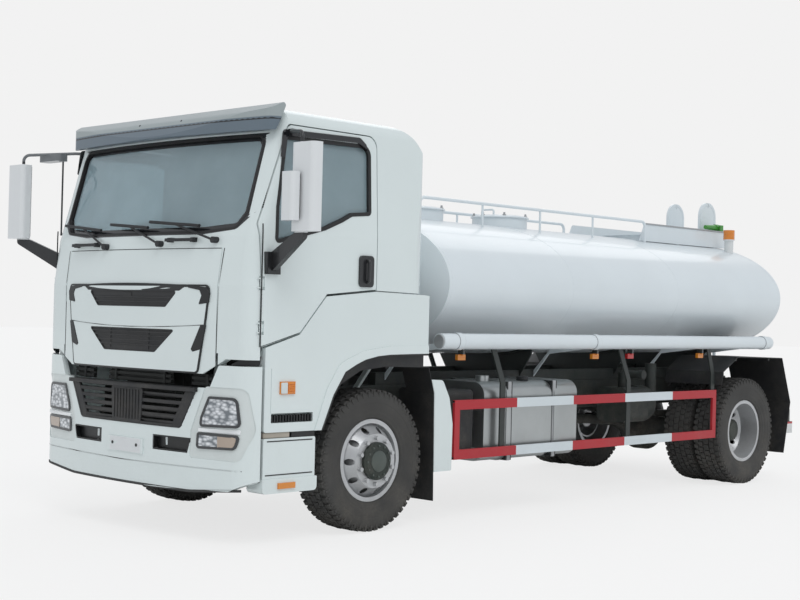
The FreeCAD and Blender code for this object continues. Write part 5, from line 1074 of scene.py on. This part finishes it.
front_rim = finish("front_rim", (0.5, 0.5, 0.5), 0.36, dust=0.3, dust_top=1.3, mottle=0.12, metal=0.55,
                   colour_from=hub_mask(AXLE_Y, 0.1385, 1.165))
rear_rim = finish("rear_rim", (0.5, 0.5, 0.5), 0.36, dust=0.35, dust_top=1.3, mottle=0.12, metal=0.55,
                  colour_from=hub_mask(AXLE_Y + 5.2, 0.135, 0.80))
clad(front_rim, "rim_front_left", "rim_front_right")
clad(rear_rim, "rims_rear_left", "rims_rear_right")
cap_steel = finish("cap_steel", (0.10, 0.12, 0.11), 0.4, dust=0.2, mottle=0.3, metal=0.5)
hub_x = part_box("rim_front_left")[1].x
hub_face = (hub_x, AXLE_Y, AXLE_Z)
CAP_BOLT = ((-0.002, 0.0005), (-0.002, 0.0085), (0.006, 0.0085), (0.008, 0.006), (0.008, 0.0005))
bolt = turned("cap_bolt", CAP_BOLT, steps=6)
bolt.data.transform(Matrix.Translation((hub_x, AXLE_Y, AXLE_Z + 0.112)))
bolts = spun_copies(bolt, 12, hub_face)
hand_over(bolts, cap_steel, "bare_steel", "wheel_front_left", "wheel_front_right")
CAP_DOME = ((-0.003, 0.080), (0.006, 0.076), (0.016, 0.055), (0.020, 0.022), (0.0205, 0.0005))
dome = turned("cap_dome", CAP_DOME, hub_face, 40)
hand_over(smooth(dome), cap_steel, "bare_steel", "wheel_front_left", "wheel_front_right")

# ------------------------ fuel tank dress
# A bare metal tank with two bright straps, dark rubber along each strap's edges
# and a black filler cap.

clad(finish("fuel_metal", (0.46, 0.48, 0.48), 0.32, dust=0.2, mottle=0.2, metal=0.9), "fuel_tank")
strap_parts = []
edge_parts = []
for middle in (AXLE_Y + 1.62, AXLE_Y + 2.21):
    strap_parts.append(bar((0.50, middle - 0.022, 0.4265), (1.1235, middle + 0.022, 1.0695), 0.006, 2))
    for edge in (middle - 0.029, middle + 0.029):
        edge_parts.append(bar((0.50, edge - 0.006, 0.428), (1.122, edge + 0.006, 1.068), 0.004))
hand_over(joined("fuel_straps", strap_parts), strap_metal, "bare_steel", "chassis")
hand_over(joined("strap_edges", edge_parts), line_black, "black_plastic", "chassis")
FILLER_CAP = ((0.0, 0.0005), (0.0, 0.048), (0.006, 0.052), (0.030, 0.052), (0.036, 0.046), (0.036, 0.0005))
filler = stood(turned("filler_cap", FILLER_CAP, steps=24), (0.98, AXLE_Y + 1.95, 1.065), -math.pi / 2, "Y")
hand_over(smooth(filler), black_plastic, "black_plastic", "chassis")

# ------------------------ platform dress
# An amber beacon on a white post, the green water cannon, wing nuts round the
# two lids, bright edges and grip strips on the deck, and beads on two plates.

def lamp_colours(tree, place):
    """Amber side lamps with dark backs, a red one in the middle, and a white post under the beacon."""
    x, y, z = axes(tree, place)
    post = both(tree, over(tree, z, 1.9), under(tree, z, 2.462))
    from_red = maths(tree, "ABSOLUTE", maths(tree, "SUBTRACT", y, AXLE_Y + 3.254))
    backs = both(tree, over(tree, z, 1.2935), under(tree, z, 1.5))
    tone = mixed(tree, under(tree, from_red, 0.06), (0.72, 0.24, 0.02, 1.0), (0.52, 0.02, 0.02, 1.0))
    tone = mixed(tree, backs, tone, (0.03, 0.034, 0.032, 1.0))
    return mixed(tree, post, tone, (0.70, 0.72, 0.72, 1.0))


clad(finish("green_paint", (0.06, 0.30, 0.04), 0.35, dust=0.1, coat=0.3), "cannon_swivel", "cannon_barrel")
lamp_paint = finish("lamp_paint", (0.7, 0.2, 0.02), 0.22, dust=0.08, mottle=0.1, coat=0.6,
                    colour_from=lamp_colours)
clad(lamp_paint, "marker_lamps")
BEACON_RING = ((-0.004, 0.0575), (0.0, 0.0605), (0.004, 0.0575), (-0.004, 0.0575))
lens_rings = [
    smooth(stood(turned("beacon_ring", BEACON_RING, steps=28), (0.620, AXLE_Y + 5.800, z), math.pi / 2, "Y"))
    for z in [2.473 + 0.014 * k for k in range(6)]
]
hand_over(joined("beacon_rings", lens_rings), amber, "amber_lens", "chassis")

edges = [bar((x, AXLE_Y + 4.505, 2.546), (x + 0.007, AXLE_Y + 6.175, 2.5615), 0.002) for x in (-0.457, 0.450)]
edges.append(bar((-0.44, AXLE_Y + 6.168, 2.4465), (0.44, AXLE_Y + 6.178, 2.462), 0.002))
for k in range(16):
    y = AXLE_Y + 4.56 + 0.078 * k
    edges.append(bar((-0.40, y, 2.4455), (0.15, y + 0.022, 2.4495), 0.001))
hand_over(joined("deck_edges", edges), strap_metal, "bare_steel", "chassis")
WING_NUT = ((0.0, 0.0005), (0.0, 0.010), (0.016, 0.010), (0.020, 0.006), (0.020, 0.0005))
CLAMP_RADIUS = 0.238
for body, middle in (("lid_front", AXLE_Y + 1.620), ("lid_rear", AXLE_Y + 2.780)):
    knobs = []
    for degrees in (40.0, 90.0, 140.0, 220.0, 320.0):
        x = CLAMP_RADIUS * math.cos(math.radians(degrees))
        y = middle - CLAMP_RADIUS * math.sin(math.radians(degrees))
        knobs.append(bar((x - 0.014, y - 0.014, 2.512), (x + 0.014, y + 0.014, 2.530), 0.004))
        knobs.append(stood(turned("wing_nut", WING_NUT, steps=12), (x, y, 2.529), -math.pi / 2, "Y"))
    hand_over(joined(body + "_clamps", knobs), strap_metal, "bare_steel", body)
# The two tall plates behind the deck, each with a raised bead along both faces.
PLATE = rounded(((3.430, 2.4490), (3.430, 2.880, 0.155), (3.740, 2.880, 0.155), (3.740, 2.4490)), 10)
plate_edges = [
    band("plate_bead", grown(PLATE, -0.028), grown(PLATE, -0.012), 0.0118, 0.015,
         lambda y, z, lift, x=x, s=s: (x + s * lift, y, z))
    for x in (-0.200, 0.200) for s in (-1, 1)
]
hand_over(joined("plate_beads", plate_edges), tank_white, "tank_paint", "chassis")

# ------------------------ rear dress
# A rear bar striped red and white, and a stop, a turn and a reverse lens on the
# lamp cluster at each end.

def bar_stripes(tree, place):
    x, y, z = axes(tree, place)
    slant = maths(tree, "ADD", maths(tree, "DIVIDE", x, 0.24), maths(tree, "MULTIPLY", z, 4.0))
    odd = under(tree, maths(tree, "FRACT", slant), 0.5)
    face = both(tree, under(tree, z, 0.572), over(tree, y, 3.678))
    stripe = mixed(tree, odd, (0.70, 0.71, 0.71, 1.0), (0.46, 0.018, 0.024, 1.0))
    return mixed(tree, face, (*FRAME_TONE, 1.0), stripe)


bar_paint = finish("bar_paint", (0.1, 0.1, 0.1), 0.35, dust=0.3, mottle=0.1, coat=0.2, colour_from=bar_stripes)
clad(bar_paint, "rear_bar")
stop_red = finish("stop_red", (0.45, 0.012, 0.014), 0.2, dust=0.05, mottle=0.1, coat=0.8, grain=120, bump=0.5,
                  depth=0.0015)
REAR_LAMP_Y = AXLE_Y + 6.235
for name, x0, x1, material, slot_name in (
    ("stop_lens", 0.795, 0.905, stop_red, "lamp_lens"), ("turn_lens", 0.915, 1.005, amber, "amber_lens"),
    ("reverse_lens", 1.015, 1.115, lamp_bezel, "lamp_lens"),
):
    lens = bar((x0, REAR_LAMP_Y - 0.002, 0.592), (x1, REAR_LAMP_Y + 0.006, 0.688), 0.0035, 2)
    lens.name = name
    hand_over(lens, material, slot_name, "chassis", "chassis")
